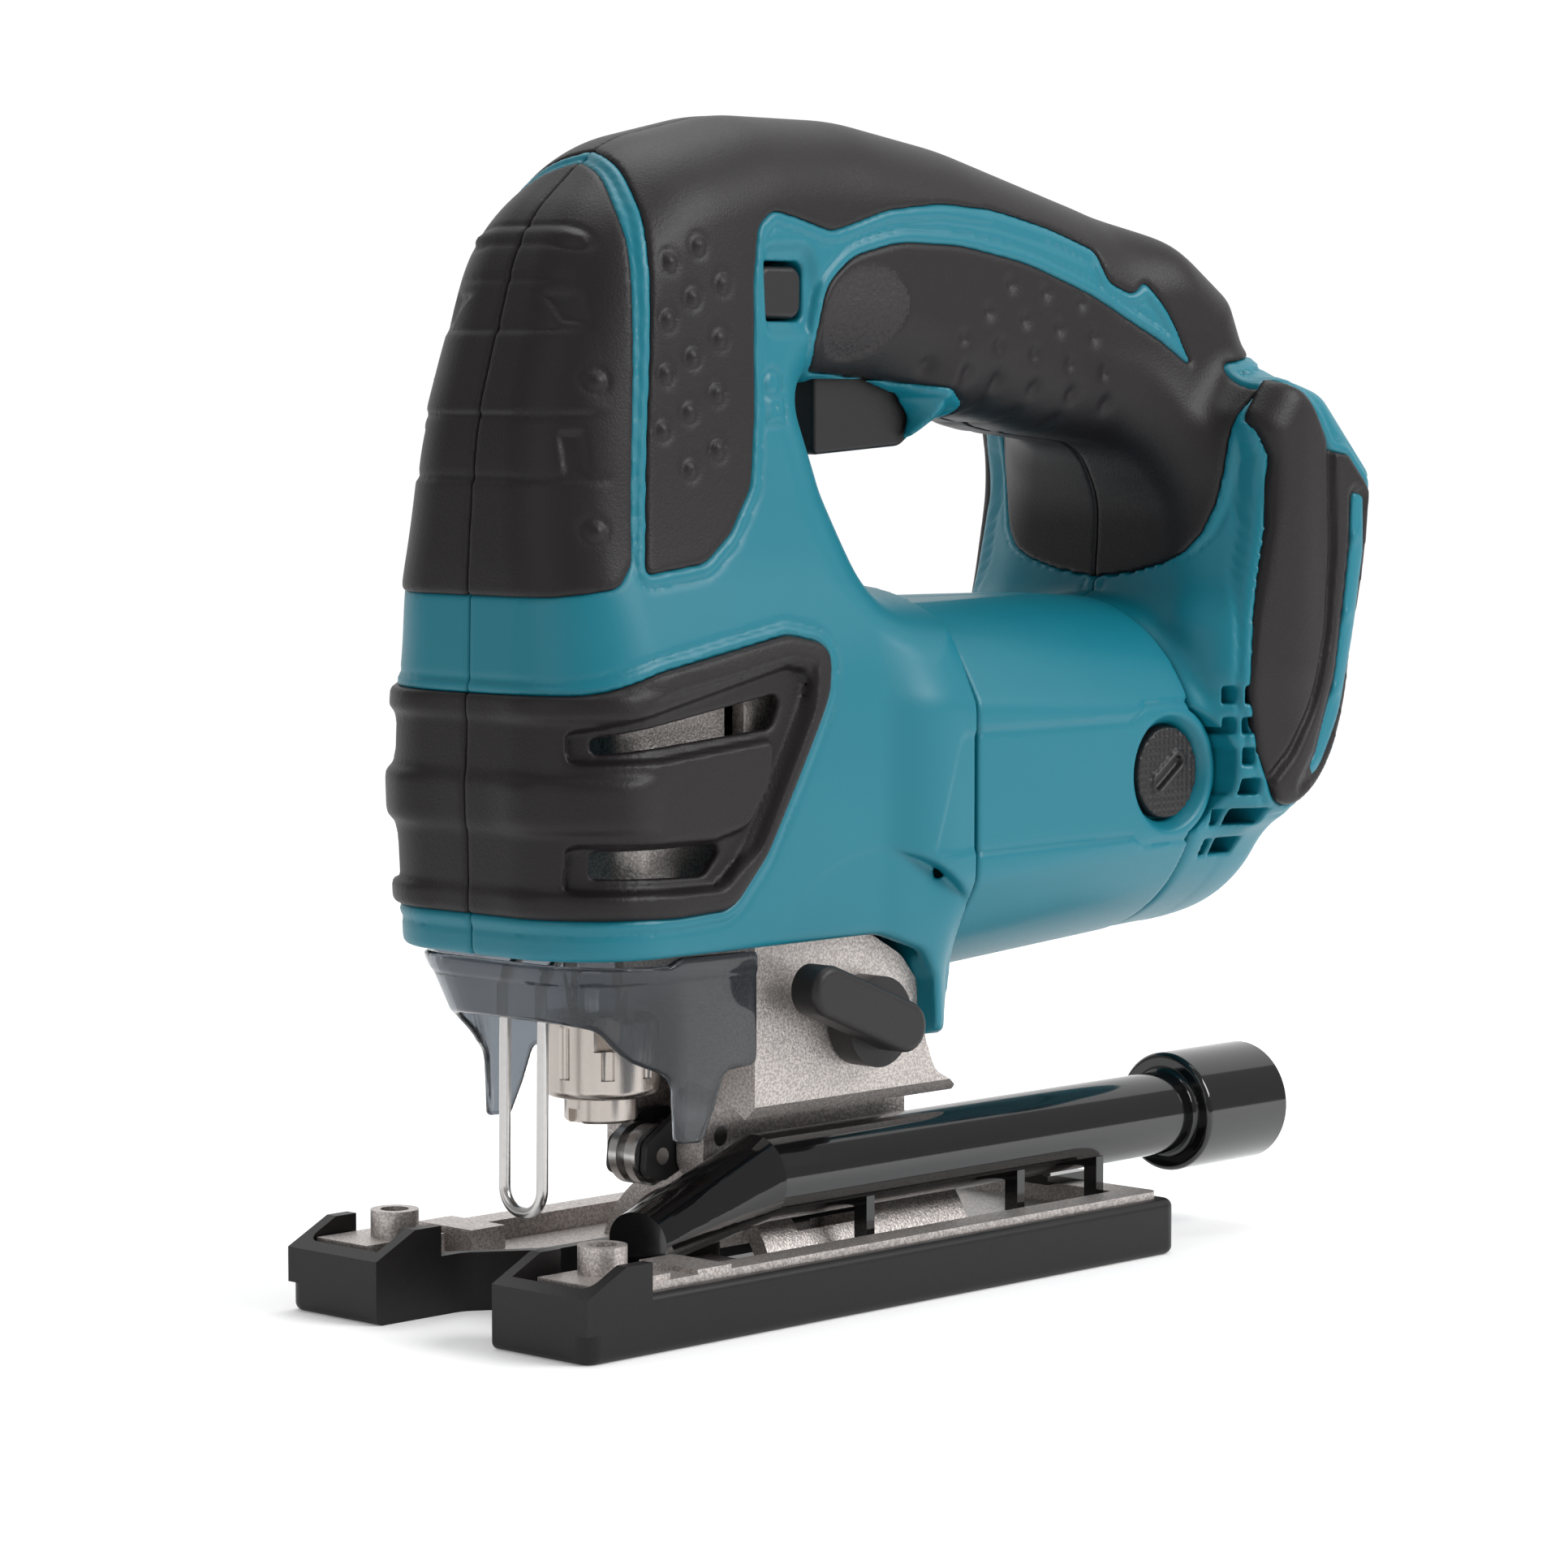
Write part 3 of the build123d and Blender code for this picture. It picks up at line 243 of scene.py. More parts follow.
# ---------------------------------------------------------------- looks
def look(name, colour, roughness, metallic=0.0, grain=900.0, bump=0.03, vary=0.06, speckle=0.0,
         coat=0.0, brushed=None, shine=0.5):
    """Material with fine relief and small changes of tone, all worked out from the place on the object."""
    made = bpy.data.materials.new(name)
    made.use_nodes = True
    tree = made.node_tree
    link = tree.links.new
    shader = tree.nodes["Principled BSDF"]
    shader.inputs["Base Color"].default_value = (*colour, 1)
    shader.inputs["Roughness"].default_value = roughness
    shader.inputs["Metallic"].default_value = metallic
    shader.inputs["Coat Weight"].default_value = coat
    shader.inputs["Specular IOR Level"].default_value = shine
    place = tree.nodes.new("ShaderNodeTexCoord")
    mapping = tree.nodes.new("ShaderNodeMapping")
    mapping.inputs["Scale"].default_value = brushed or (1, 1, 1)
    link(place.outputs["Object"], mapping.inputs["Vector"])
    fine = tree.nodes.new("ShaderNodeTexNoise")
    fine.inputs["Scale"].default_value = grain
    fine.inputs["Detail"].default_value = 3.0
    link(mapping.outputs["Vector"], fine.inputs["Vector"])
    relief = tree.nodes.new("ShaderNodeBump")
    relief.inputs["Strength"].default_value = 1.0
    relief.inputs["Distance"].default_value = bump * MM
    link(fine.outputs["Fac"], relief.inputs["Height"])
    link(relief.outputs["Normal"], shader.inputs["Normal"])
    broad = tree.nodes.new("ShaderNodeTexNoise")
    broad.inputs["Scale"].default_value = 45.0
    link(place.outputs["Object"], broad.inputs["Vector"])
    tone = tree.nodes.new("ShaderNodeMix")
    tone.data_type = "RGBA"
    tone.inputs["A"].default_value = (*[c * (1 - vary) for c in colour], 1)
    tone.inputs["B"].default_value = (*[min(1, c * (1 + vary)) for c in colour], 1)
    link(broad.outputs["Fac"], tone.inputs["Factor"])
    last = tone.outputs["Result"]
    if speckle > 0:
        grit = tree.nodes.new("ShaderNodeTexNoise")
        grit.inputs["Scale"].default_value = 2300.0
        grit.inputs["Detail"].default_value = 4.0
        link(place.outputs["Object"], grit.inputs["Vector"])
        ramp = tree.nodes.new("ShaderNodeMapRange")
        ramp.inputs["From Min"].default_value = 0.40
        ramp.inputs["From Max"].default_value = 0.62
        link(grit.outputs["Fac"], ramp.inputs["Value"])
        mixed = tree.nodes.new("ShaderNodeMix")
        mixed.data_type = "RGBA"
        mixed.inputs["B"].default_value = (*[min(1, c * (1 + speckle)) for c in colour], 1)
        link(last, mixed.inputs["A"])
        link(ramp.outputs["Result"], mixed.inputs["Factor"])
        last = mixed.outputs["Result"]
    link(last, shader.inputs["Base Color"])
    gloss = tree.nodes.new("ShaderNodeMapRange")
    gloss.inputs["To Min"].default_value = max(0.02, roughness - 0.05)
    gloss.inputs["To Max"].default_value = min(1, roughness + 0.05)
    link(fine.outputs["Fac"], gloss.inputs["Value"])
    link(gloss.outputs["Result"], shader.inputs["Roughness"])
    return made


TEAL = look("teal_plastic", (0.001, 0.150, 0.205), 0.42, grain=1600, bump=0.012, vary=0.03, shine=0.42)
RUBBER = look("grip_rubber", (0.009, 0.007, 0.008), 0.47, grain=2200, bump=0.06, vary=0.10, shine=0.30)
THUMB = look("thumb_rubber", (0.016, 0.013, 0.014), 0.60, grain=1100, bump=0.45, vary=0.10, shine=0.42)
ALUMINIUM = look("cast_aluminium", (0.38, 0.35, 0.335), 0.46, 0.8, 1900, 0.10, 0.06, speckle=0.7)
SOLE = look("sole_plastic", (0.008, 0.0068, 0.007), 0.42, grain=1800, bump=0.02, vary=0.08, shine=0.3)
BLACK = look("black_plastic", (0.012, 0.0105, 0.011), 0.46, grain=1500, bump=0.04, vary=0.08, shine=0.36)
TUBE = look("gloss_black", (0.004, 0.004, 0.0045), 0.10, grain=300, bump=0.008, vary=0.05, coat=0.4)
NICKEL = look("nickel_steel", (0.50, 0.455, 0.42), 0.27, 1.0, 900, 0.02, 0.06, brushed=(1, 1, 0.08))
STEEL = look("bright_steel", (0.55, 0.54, 0.53), 0.25, 1.0, 900, 0.02, 0.06)
DARK_STEEL = look("screw_steel", (0.10, 0.10, 0.105), 0.35, 0.9, 900, 0.02, 0.08)
IRON = look("dark_iron", (0.06, 0.06, 0.062), 0.55, 0.8, 900, 0.06, 0.1)
BRASS = look("brass", (0.62, 0.44, 0.19), 0.30, 1.0, 900, 0.02, 0.06)
BRONZE = look("bronze", (0.42, 0.27, 0.14), 0.42, 0.9, 900, 0.05, 0.1)
COPPER = look("copper", (0.62, 0.27, 0.13), 0.32, 0.95, 900, 0.04, 0.12, brushed=(1, 8, 8))
CARBON = look("carbon", (0.03, 0.03, 0.03), 0.7, 0.0, 900, 0.06, 0.1)


def smoke():
    """Clear plastic with a grey-blue tint."""
    made = look("smoke_clear", (0.20, 0.222, 0.25), 0.05, grain=120, bump=0.02, vary=0.05)
    shader = made.node_tree.nodes["Principled BSDF"]
    shader.inputs["Transmission Weight"].default_value = 0.92
    shader.inputs["IOR"].default_value = 1.42
    return made


SMOKE = smoke()
FINISHES = {
    "teal_plastic": TEAL, "grip_rubber": RUBBER, "screw_steel": DARK_STEEL, "bright_steel": STEEL,
    "nickel_steel": NICKEL, "dark_iron": IRON, "brass": BRASS, "bronze": BRONZE, "copper": COPPER,
    "carbon": CARBON, "black_plastic": BLACK, "sole_plastic": SOLE, "gloss_black": TUBE,
    "cast_aluminium": ALUMINIUM, "smoke_clear": SMOKE}
for part in frame["record"]["subparts"]:
    mesh = nodes[part["node"]].data
    mesh.materials.clear()
    mesh.materials.append(FINISHES[part["material_slot"]])

# ---------------------------------------------------------------- side outlines of the housing
UPPER = [(9.6, 40, 1), (8.0, 94, 60), (9.0, 130, 60), (10.8, 153, 60), (21, 186.5, 30), (39, 201.3, 30),
         (64, 206.6, 40), (92, 206.4, 60), (118, 202.3, 90), (154, 193.2, 90), (176, 186, 40),
         (190, 177, 8), (198, 160, 4), (198, 104, 4), (166, 104, 4), (167, 116, 5), (171.4, 122, 8),
         (171.4, 138, 18), (165, 149, 16), (141, 151.4, 20), (124, 154.6, 5), (116, 153.8, 2),
         (105.6, 149.2, 1.2), (107.4, 154.0, 2), (103.5, 157.6, 4), (96, 159.8, 8), (79, 160.2, 4),
         (75.5, 157, 5), (78.6, 143, 12), (84.6, 131, 14), (90, 121, 8), (102.4, 118, 2), (102.4, 40, 1)]
UNDERSIDE = [(-9, 64.2, 0), (80, 64.2, 14), (91, 60.5, 5), (94.6, 55, 3), (95.2, 45.4, 1.2),
             (99.6, 45.2, 1.2), (101.2, 52, 2), (102.4, 52, 0.2), (240, 40, 0), (240, 230, 0), (-9, 230, 0)]
MOUNT = [(175.8, 153, 6), (184, 162, 7), (197, 158.5, 8), (212, 143.5, 4), (209.8, 128, 40),
         (200.8, 88, 14), (188, 78.8, 8), (177, 77.8, 6), (169.5, 84, 8), (168.6, 104, 20), (174.2, 124, 20),
         (178, 140, 20)]
FLARE = [(172, 98, 4), (175, 122, 10), (178, 138, 14), (184, 154, 12), (192, 163, 6), (200, 150, 6),
         (198, 98, 4)]
FRONT_PAD = [(-6, 124.4, 0), (11.3, 125, 2), (20.2, 126.4, 4), (23.4, 130.5, 5), (26.4, 160, 60),
             (28.9, 184, 20), (27.2, 195, 6), (19.7, 199.6, 6), (14, 206, 0), (-6, 206, 0)]
FIELD = [(25.8, 128.3, 1.5), (40.4, 129.9, 8), (47.2, 134.8, 6), (53.1, 142.7, 8), (55.3, 156, 30),
         (56.6, 178, 20), (58.4, 187.2, 4), (62.5, 190, 4), (78.5, 186.2, 9), (93, 190.4, 16),
         (107, 191.6, 40), (122, 190.6, 40), (138, 187.5, 30), (150, 184.2, 2.5), (153.2, 178.6, 5),
         (159.5, 176.2, 3), (162.3, 178.8, 1), (168, 173, 30), (173.4, 163.2, 0.5), (165.7, 168.3, 30),
         (150, 176.2, 60), (130.4, 182, 80), (112, 184.8, 60), (96, 185.2, 30), (84, 182.6, 14),
         (76.4, 177, 10), (74.6, 168, 7), (78.6, 162.4, 4), (95, 161.2, 30), (112, 159.3, 12),
         (119.8, 156.1, 2), (116.5, 151.5, 0), (140, 140, 0), (150, 123.2, 0), (184, 123.2, 0),
         (186, 149, 6), (181.5, 158.4, 4), (181.6, 163.4, 2), (198, 166, 0),
         (200, 214, 0), (16, 214, 0), (21.6, 200.4, 3), (29.8, 197.4, 7), (32.2, 188, 10),
         (30.2, 166, 60), (27.0, 136, 40)]
BUMPER = [(-9, 108.8, 0), (14, 108.8, 20), (26, 112.4, 20), (57.4, 117.6, 9), (67.6, 115.6, 6),
          (66.2, 107, 12), (50.5, 80.0, 14), (42.5, 71.4, 8), (30, 71.0, 20), (-9, 71.4, 0)]
CHANNEL = [(11.5, 102.8, 1.5), (57, 112.2, 3), (62.8, 111.2, 3), (61.4, 104.6, 8), (48.6, 81.6, 10),
           (39.6, 75.2, 5), (11.5, 75.8, 1.5)]
TONGUE = [(0, 97.3, 0), (26, 97.5, 6), (52.6, 99.8, 1.5), (51.6, 92.4, 6), (46.4, 85.4, 5),
          (38.5, 83.6, 4), (0, 84.0, 0)]
UPPER_WINDOW = [(15.5, 98.9, 1.2), (53.6, 101.6, 2.4), (56.6, 107.6, 1.6), (15.5, 101.6, 1.2)]
LOWER_WINDOW = [(15.5, 78.2, 1), (37.5, 77.4, 3), (42.4, 82.6, 2), (15.5, 82.6, 1)]
MOUNT_PAD = [(180.8, 161.6, 2), (175.6, 155, 5), (179.4, 146, 8), (178.6, 134, 20), (174.4, 116, 20),
             (172.6, 104, 14), (174.8, 91.6, 12), (179.6, 82.2, 5), (184, 80.6, 8), (193.2, 84.6, 12),
             (202.3, 99.5, 20), (207.9, 120.2, 30), (208.4, 139.6, 2.5), (201.2, 146.6, 2),
             (196.4, 147.2, 3), (188.5, 158.4, 8)]
RIDGE = [(196.2, 152, 1), (197.2, 128.2, 40), (195.3, 112.9, 30), (190.8, 99.6, 20), (183.9, 90.4, 16),
         (172, 80, 1), (184, 70, 1), (215, 84, 1), (218, 150, 1)]
STRIP = [(202.2, 139.8, 1), (205.8, 138.8, 1), (206.2, 127, 20), (204.3, 112.5, 30), (199.2, 97.8, 20),
         (192.4, 86.4, 10), (184.2, 82.8, 1), (190.4, 90.2, 8), (196.8, 103.6, 20), (200, 118.5, 30),
         (201.8, 130, 20)]
BUTTON = [(60.3, 171, 2), (71.7, 171, 2), (72, 181.4, 2), (60.3, 181.4, 2)]
BUTTON_DISH = [(59.5, 168.5, 3), (73.6, 168.5, 3), (75.4, 177, 5), (73, 184.6, 4), (59.5, 184, 3)]
PANEL = [(80, 98.4, 0), (146, 98.4, 4), (150, 101, 3), (166, 101, 3), (172, 88, 6), (166, 75.6, 3),
         (150, 75.4, 3), (146, 77.4, 4), (80, 77.4, 0)]
FRONT_PANEL = [(97.6, 98.4, 3), (106, 98.4, 0), (106, 77.4, 0), (90.5, 77.4, 1.5), (93.4, 86, 6)]
MOTOR_CENTRE = 88.0
MOTOR_RADIUS = 35.9
MOTOR_FLAT = 31.0
BRUSH = (157.6, 88.2)
CAP_RADIUS = 8.5
SEAM = 102.6
REAR_SEAM = 163.6
LEVER = (79.0, 49.0)
LEVER_REACH = 29.6
LEVER_INNER_FACE = 29.2
HOLLOW_TOP = 134.0
NOSE_WALL = 3.0
LIP_WALL = 2.2
MOUNT_HALF = 36.2
FLARE_HALF = 27.5
GRIP_HALF = 17.6
PAD_SINK = 1.1
CHANNEL_SINK = 2.3
VENT_ENDS = (179.2, 180.0, 176.4, 174.6, 174.0, 173.6)
VENT_BOTTOM = 73.4
VENT_PITCH = 5.76
THUMB_CENTRE = (87.6, 172.8)
THUMB_HALVES = (10.6, 8.2)
PADLOCK = (61.2, 156.0)

DIMPLES = [(125.8, 178.2), (135.4, 176.8), (145.2, 175), (119.7, 173.1), (129.6, 171.7), (139.1, 170.2),
           (148.9, 168.7), (113.3, 168.4), (123, 167), (132.8, 165.6), (142.5, 163.8), (152.1, 162.2),
           (106.1, 163.7), (115.6, 162.1), (124.6, 160.7), (134.4, 159.4), (144.2, 158.2),
           (153.9, 156.5), (123.8, 155.4), (132.8, 153.9), (142.5, 152.6)]
BUMPS = [(42.6, 183.6), (35.7, 180.8), (48, 177.3), (40.6, 174.9), (34.5, 171.2), (46.7, 168),
         (40, 164.9), (33.5, 162.1), (45.5, 158.8), (38.7, 155.7), (32.3, 152.7), (45.1, 149.3),
         (38.3, 146.1)]
PAD_BUMPS = [(22.4, 185), (19.7, 161), (16.9, 136)]
STRIP_DOTS = [(202.8, 130.8), (200.6, 116.5), (197.4, 102), (190.6, 88.6)]
CREASES = [144.5, 155.2, 169.4, 178.0]


def thumb_oval(d, z):
    """Squared reach from the thumb oval's centre, 1 on its rim."""
    along, up = d - THUMB_CENTRE[0], z - THUMB_CENTRE[1]
    long_half, short_half = THUMB_HALVES
    return (along * 0.92 + up * 0.22) ** 2 / long_half ** 2 + (up - 0.25 * along) ** 2 / short_half ** 2


# ---------------------------------------------------------------- the housing
grid = Grid((-3, -1.8, 43), (214.5, 39.5, 209.5), STEP)
side = grid.side()
D, W, Z = grid.d, grid.w, grid.z

upper = outline(side, UPPER)
low_edge = np.interp(Z.ravel(), [60, 92, 108, 118, 126, 136, 150, 170, 190, 207],
                     [28.4, 29.2, 29.0, 27.4, 25.4, 23.8, 22.6, 21.6, 20.2, 17.4])
smooth = np.convolve(np.pad(low_edge, 12, "edge"), np.ones(25) / 25, "valid")
pillar_half = smooth[None, None, :].astype(np.float32)
behind_front = ease(D, 46, 88) * ease(Z, 140, 168)
half = pillar_half * (1 - behind_front) + GRIP_HALF * behind_front
half = half + 3.2 * ease(D, 150, 176)
edge = 15.5 - 5.5 * ease(D, 158, 176) + ease(-Z, -128, -112) * (3.0 - 9.0 * ease(D, 40, 70))
body = slab(upper, W - half, edge)
walls = body
del half, edge, behind_front

radius = MOTOR_RADIUS - 3.8 * np.clip((D - SEAM) / 61.0, -0.4, 1.2)
centre = np.sqrt(W ** 2 + (Z - MOTOR_CENTRE) ** 2)
flat = W - MOTOR_FLAT + 0.012 * (D - SEAM)
facet = (W * 0.86 + np.abs(Z - MOTOR_CENTRE) * 0.51) - 34.6 + 0.035 * (D - SEAM)
barrel = common(common(centre - radius, flat, 1.0), facet, 1.0)
front_barrel = common(barrel, 86.0 - D, 8.0)
body = union(body, common(front_barrel, D - SEAM), 7.0)
body = common(body, outline(side, UNDERSIDE), 1.6)
tail = common(outline(side, UNDERSIDE), np.maximum(np.maximum(W - 24.2, D - 101.6), 93.0 - D), 1.2)
body = union(body, np.maximum(tail, Z - 66), 2.5)

rear = common(barrel, np.maximum(REAR_SEAM - D, D - 189.0), 3.0)
rear = common(rear, centre - 32.6 + 0.25 * np.maximum(D - 178, 0), 2.0)
body = union(body, rear, 3.0)
flare = slab(outline(side, FLARE), W - FLARE_HALF, 9.0)
flare = common(flare, 172.5 + 0.55 * np.maximum(W - 12, 0) - D, 6.0)
mount = slab(outline(side, MOUNT), W - MOUNT_HALF, 6.0)
body = union(body, flare, 8.0)
body = union(body, mount, 7.0)
del flare, mount, front_barrel, tail, upper
brush_reach = np.sqrt((D - BRUSH[0]) ** 2 + (Z - BRUSH[1]) ** 2)
motor_side = np.minimum(np.maximum(D - REAR_SEAM, SEAM - D), np.maximum(brush_reach - 13.2, SEAM - D))
motor_side = np.where(Z > 121.5, np.maximum(motor_side, 3.0), motor_side)

battery = np.minimum(box(grid, (195, -9, 88), (203.5, 30.5, 178)),
                     box(grid, (203, -9, 88), (222, 26, 178)))
nose_hollow = np.maximum(np.maximum(body + NOSE_WALL, D - 99.0), Z - HOLLOW_TOP)
mouth = np.maximum(box(grid, (11, -9, 50), (92, 26.2, 76)), walls + LIP_WALL)
nose_hollow = np.minimum(nose_hollow, mouth)
trigger_slot = box(grid, (83, -9, 140), (113.4, 8.45, 172))

crown = ease(Z, 176, 197)
raised = (D - 8.6 * crown, Z - 3.4 * crown)
to_side = np.clip(W / 20, 0, 1)
front_mask = outline(side, FRONT_PAD) * to_side + outline(raised, FRONT_PAD) * (1 - to_side)
field_mask = outline(side, FIELD) * to_side + outline(raised, FIELD) * (1 - to_side)
sweep_half = np.interp(Z.ravel(), [123.2, 124.4, 126.5, 128.5, 132, 137.5, 142.6, 149, 155, 163, 170],
                       [0, 9, 17, 21, 24, 26, 27, 28, 29.5, 33, 45])
field_mask = np.where(D > 150, np.maximum(field_mask, W - sweep_half[None, None, :]), field_mask)
bumper_mask = outline(side, BUMPER)
above_motor = ease(Z, 96, 108)
mount_mask = np.maximum(outline(side, MOUNT_PAD), (31.0 - W) * above_motor - 4 * (1 - above_motor))
strip_mask = outline(side, STRIP)
channel = common(outline(side, CHANNEL), -outline(side, TONGUE), 1.6)
windows = np.minimum(outline(side, UPPER_WINDOW), outline(side, LOWER_WINDOW))
windows = np.maximum(windows, 11.5 - W)
button = np.maximum(outline(side, BUTTON), -9 - W)
thumb = np.sqrt(thumb_oval(D, Z))


def dots(places, reach):
    """Sum of soft spots, one at each place."""
    total = 0
    for d, z in places:
        total = total + np.exp(-(((D - d) ** 2 + (Z - z) ** 2) / reach ** 2))
    return total


def ring(places, reach):
    """Sum of soft rings around each place."""
    total = 0
    for d, z in places:
        far = np.sqrt((D - d) ** 2 + (Z - z) ** 2)
        total = total + np.exp(-((far - reach) / 0.5) ** 2)
    return total


pads = np.minimum(np.minimum(front_mask, field_mask), np.minimum(bumper_mask, mount_mask))
rim_reach = np.minimum(np.minimum(field_mask, bumper_mask), mount_mask)
sunk = PAD_SINK * ease(-pads, -0.15, 0.75)
rim = -0.28 * (1 - ease(rim_reach, 1.5, 2.1)) * ease(rim_reach, -0.2, 0.3)
line = 0.30 * np.exp(-((rim_reach - 2.2) / 0.45) ** 2)
dish = 1.5 * ease(-outline(side, BUTTON_DISH), -1.0, 2.2)
shell = body + sunk + rim + line + dish + CHANNEL_SINK * ease(-channel, -1.6, 0.2)
shell = common(shell, -(np.maximum(motor_side, SEAM - D) - 0.22), 0.5)
shell = common(shell, -nose_hollow)
for hole in (trigger_slot, windows, button, battery):
    shell = common(shell, -hole, 0.5)
lever_path = np.maximum(np.sqrt((D - LEVER[0]) ** 2 + (Z - LEVER[1]) ** 2) - LEVER_REACH,
                        LEVER_INNER_FACE - W)
shell = common(shell, -lever_path, 1.0)
for row, end in enumerate(VENT_ENDS):
    height = VENT_BOTTOM + VENT_PITCH * row
    for d0, d1 in ((168.8, 171.0), (172.0, end)):
        slot = np.maximum(np.maximum(np.abs(D - (d0 + d1) / 2) - (d1 - d0) / 2,
                                     np.abs(Z - height) - 1.6), 21.0 - W)
        shell = common(shell, -slot, 0.3)
step_in = outline(side, FRONT_PANEL)
shell = shell + 0.30 * ease(-step_in, -0.3, 0.3) * ease(W, 20, 24)
lock_body = np.maximum(np.abs(D - PADLOCK[0]) - 2.9, np.abs(Z - PADLOCK[1]) - 2.5)
shackle = np.abs(np.sqrt((D - PADLOCK[0] + 0.6) ** 2 + (Z - PADLOCK[1] - 4.4) ** 2) - 2.3)
shackle = np.maximum(shackle, PADLOCK[1] + 2.9 - Z)
keyhole = np.sqrt((D - PADLOCK[0]) ** 2 + (Z - PADLOCK[1] - 0.4) ** 2)
lines = np.minimum(np.minimum(np.abs(lock_body), shackle), keyhole)
shell = shell + 0.5 * (1 - ease(lines, 0.25, 0.7)) * ease(W, 15, 17)
seam_line = 0.05 - W
shell = common(shell, seam_line, 0.7)

points, quads = skin(shell, grid)
middle = points[quads].mean(axis=1)
deep = (middle[:, 1] < 0.12) & (sample(body, grid, middle) < -1.4)
hollow = sample(nose_hollow, grid, middle) < 0.4
quads = quads[~(deep & ~hollow)]
for hand, name in SIDES:
    made = piece("shell_" + name, points, quads, "root", TEAL, hand)
    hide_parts("housing_" + name)


def overmould(name, mask, relief, replaces, proud=0.30, holes=(), thumb_look=False):
    """Rubber skin over the housing inside a side outline, on both halves."""
    outer = common(body - proud + relief, mask, 1.1)
    soft = np.maximum(outer, -(body + 1.6 + np.maximum(relief, 0)))
    for hole in holes:
        soft = common(soft, -hole, 0.8)
    soft = common(soft, seam_line, 0.6)
    pts, faces = skin(soft, grid)
    centres = pts[faces].mean(axis=1)
    inner = sample(body + np.maximum(relief, 0) * 0.9, grid, centres) < -1.35
    hidden = inner & (sample(mask + 0 * W, grid, centres) < -1.0)
    faces = faces[~hidden]
    for hand, which in SIDES:
        thing = piece(name + "_" + which, pts, faces, "root", RUBBER, hand)
        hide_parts(replaces + "_" + which)
        if thumb_look:
            thing.data.materials.append(THUMB)
            used = centres[~hidden]
            spot = thumb_oval(used[:, 0], used[:, 2])
            thing.data.polygons.foreach_set("material_index", (spot < 1).astype(np.int32))


crease = sum(np.exp(-((Z - z) / 0.55) ** 2) for z in CREASES)
plate = ease(Z, 154.6, 155.8) * (1 - ease(Z, 168.9, 170.0)) + 1 - ease(Z, 143.9, 145.1)
crease_reach = (0.42 * crease - 0.30 * plate) * ease(-D, -22, -17)
indent = np.minimum(np.maximum(np.abs(D - 19.2) - 1.7, np.abs(Z - 172.9) - 3.0),
                    np.maximum(np.abs(D - 15.6) - 1.9, np.abs(Z - 148.8) - 4.0))
front_relief = crease_reach + 0.8 * ease(-indent, -0.2, 1.2) - 0.7 * dots(PAD_BUMPS, 1.2)
front_relief = front_relief + 0.3 * ring(PAD_BUMPS, 2.0)
overmould("front_rubber", front_mask, front_relief, "front_pad")

field_relief = 0.75 * dots(DIMPLES, 1.5) - 0.75 * dots(BUMPS, 1.15) + 0.35 * ring(BUMPS, 1.9)
field_relief = field_relief + 0.35 * ease(-thumb, -1.03, -0.97)
overmould("grip_rubber", field_mask, field_relief, "grip", 0.35,
          (trigger_slot, np.maximum(outline(side, BUTTON_DISH) - 0.3, -9 - W), battery), True)

around = ease(-D, -27, -17)
bands = 1.5 * np.exp(-((Z - 90.5) / 4.6) ** 8) + 1.1 * np.exp(-((Z - 106.9) / 2.3) ** 6)
bands = bands + 1.1 * np.exp(-((Z - 73.6) / 2.2) ** 6)
bumper_relief = 2.0 * ease(-channel, -0.5, 0.9) - bands * around * (0.3 + 0.7 * ease(W, 5, 17))
bumper_relief = bumper_relief - 0.8 * (1 - ease(np.abs(bumper_mask + 2.0), 1.6, 2.6)) * ease(D, 20, 30)
overmould("nose_rubber", bumper_mask, bumper_relief, "nose_bumper", 0.35, (windows,))

ridge = outline(side, RIDGE)
bulge = 1.6 * np.exp(-(((D - 185) / 9.0) ** 2 + ((Z - 122) / 60.0) ** 2))
groove = 1.0 * np.exp(-((ridge - 1.0) / 0.8) ** 2) + 0.6 * np.exp(-((strip_mask - 0.5) / 0.5) ** 2)
mount_relief = groove - 0.6 * ease(-ridge, -0.4, 0.4) - bulge + 0.9 * ease(-strip_mask, -0.25, 0.35)
overmould("mount_rubber", mount_mask, mount_relief, "mount_pad", 0.3, (battery,))

strip = common(common(body - 0.75 - 0.35 * dots(STRIP_DOTS, 1.3), strip_mask + 0.1, 0.5), -(body + 1.0))
points, quads = skin(strip, grid)
for hand, name in SIDES:
    made = piece("mount_strip_" + name, points, quads, "root", TEAL, hand)

# ---------------------------------------------------------------- motor housing
panel = outline(side, PANEL)
motor = common(barrel, np.maximum(motor_side, SEAM - D) + 0.15, 0.7)
motor = motor + 0.30 * ease(-panel, -0.4, 0.4) + 0.55 * np.exp(-((panel - 0.2) / 0.4) ** 2)
cap_hole = np.maximum(brush_reach - 9.0, 25.5 - W)
cap_dish = brush_reach - 11.8 + 0.7 * np.maximum(31.2 - W, 0)
motor = common(motor, -np.minimum(cap_hole, np.maximum(cap_dish, 24 - W)), 0.6)
motor = common(motor, seam_line)
points, quads = skin(motor, grid)
middle = points[quads].mean(axis=1)
quads = quads[~((middle[:, 1] < 0.12) & (sample(barrel, grid, middle) < -1.4))]
for hand, name in SIDES:
    made = piece("motor_shell_" + name, points, quads, "root", TEAL, hand)
    if hand < 0:
        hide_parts("motor_housing")

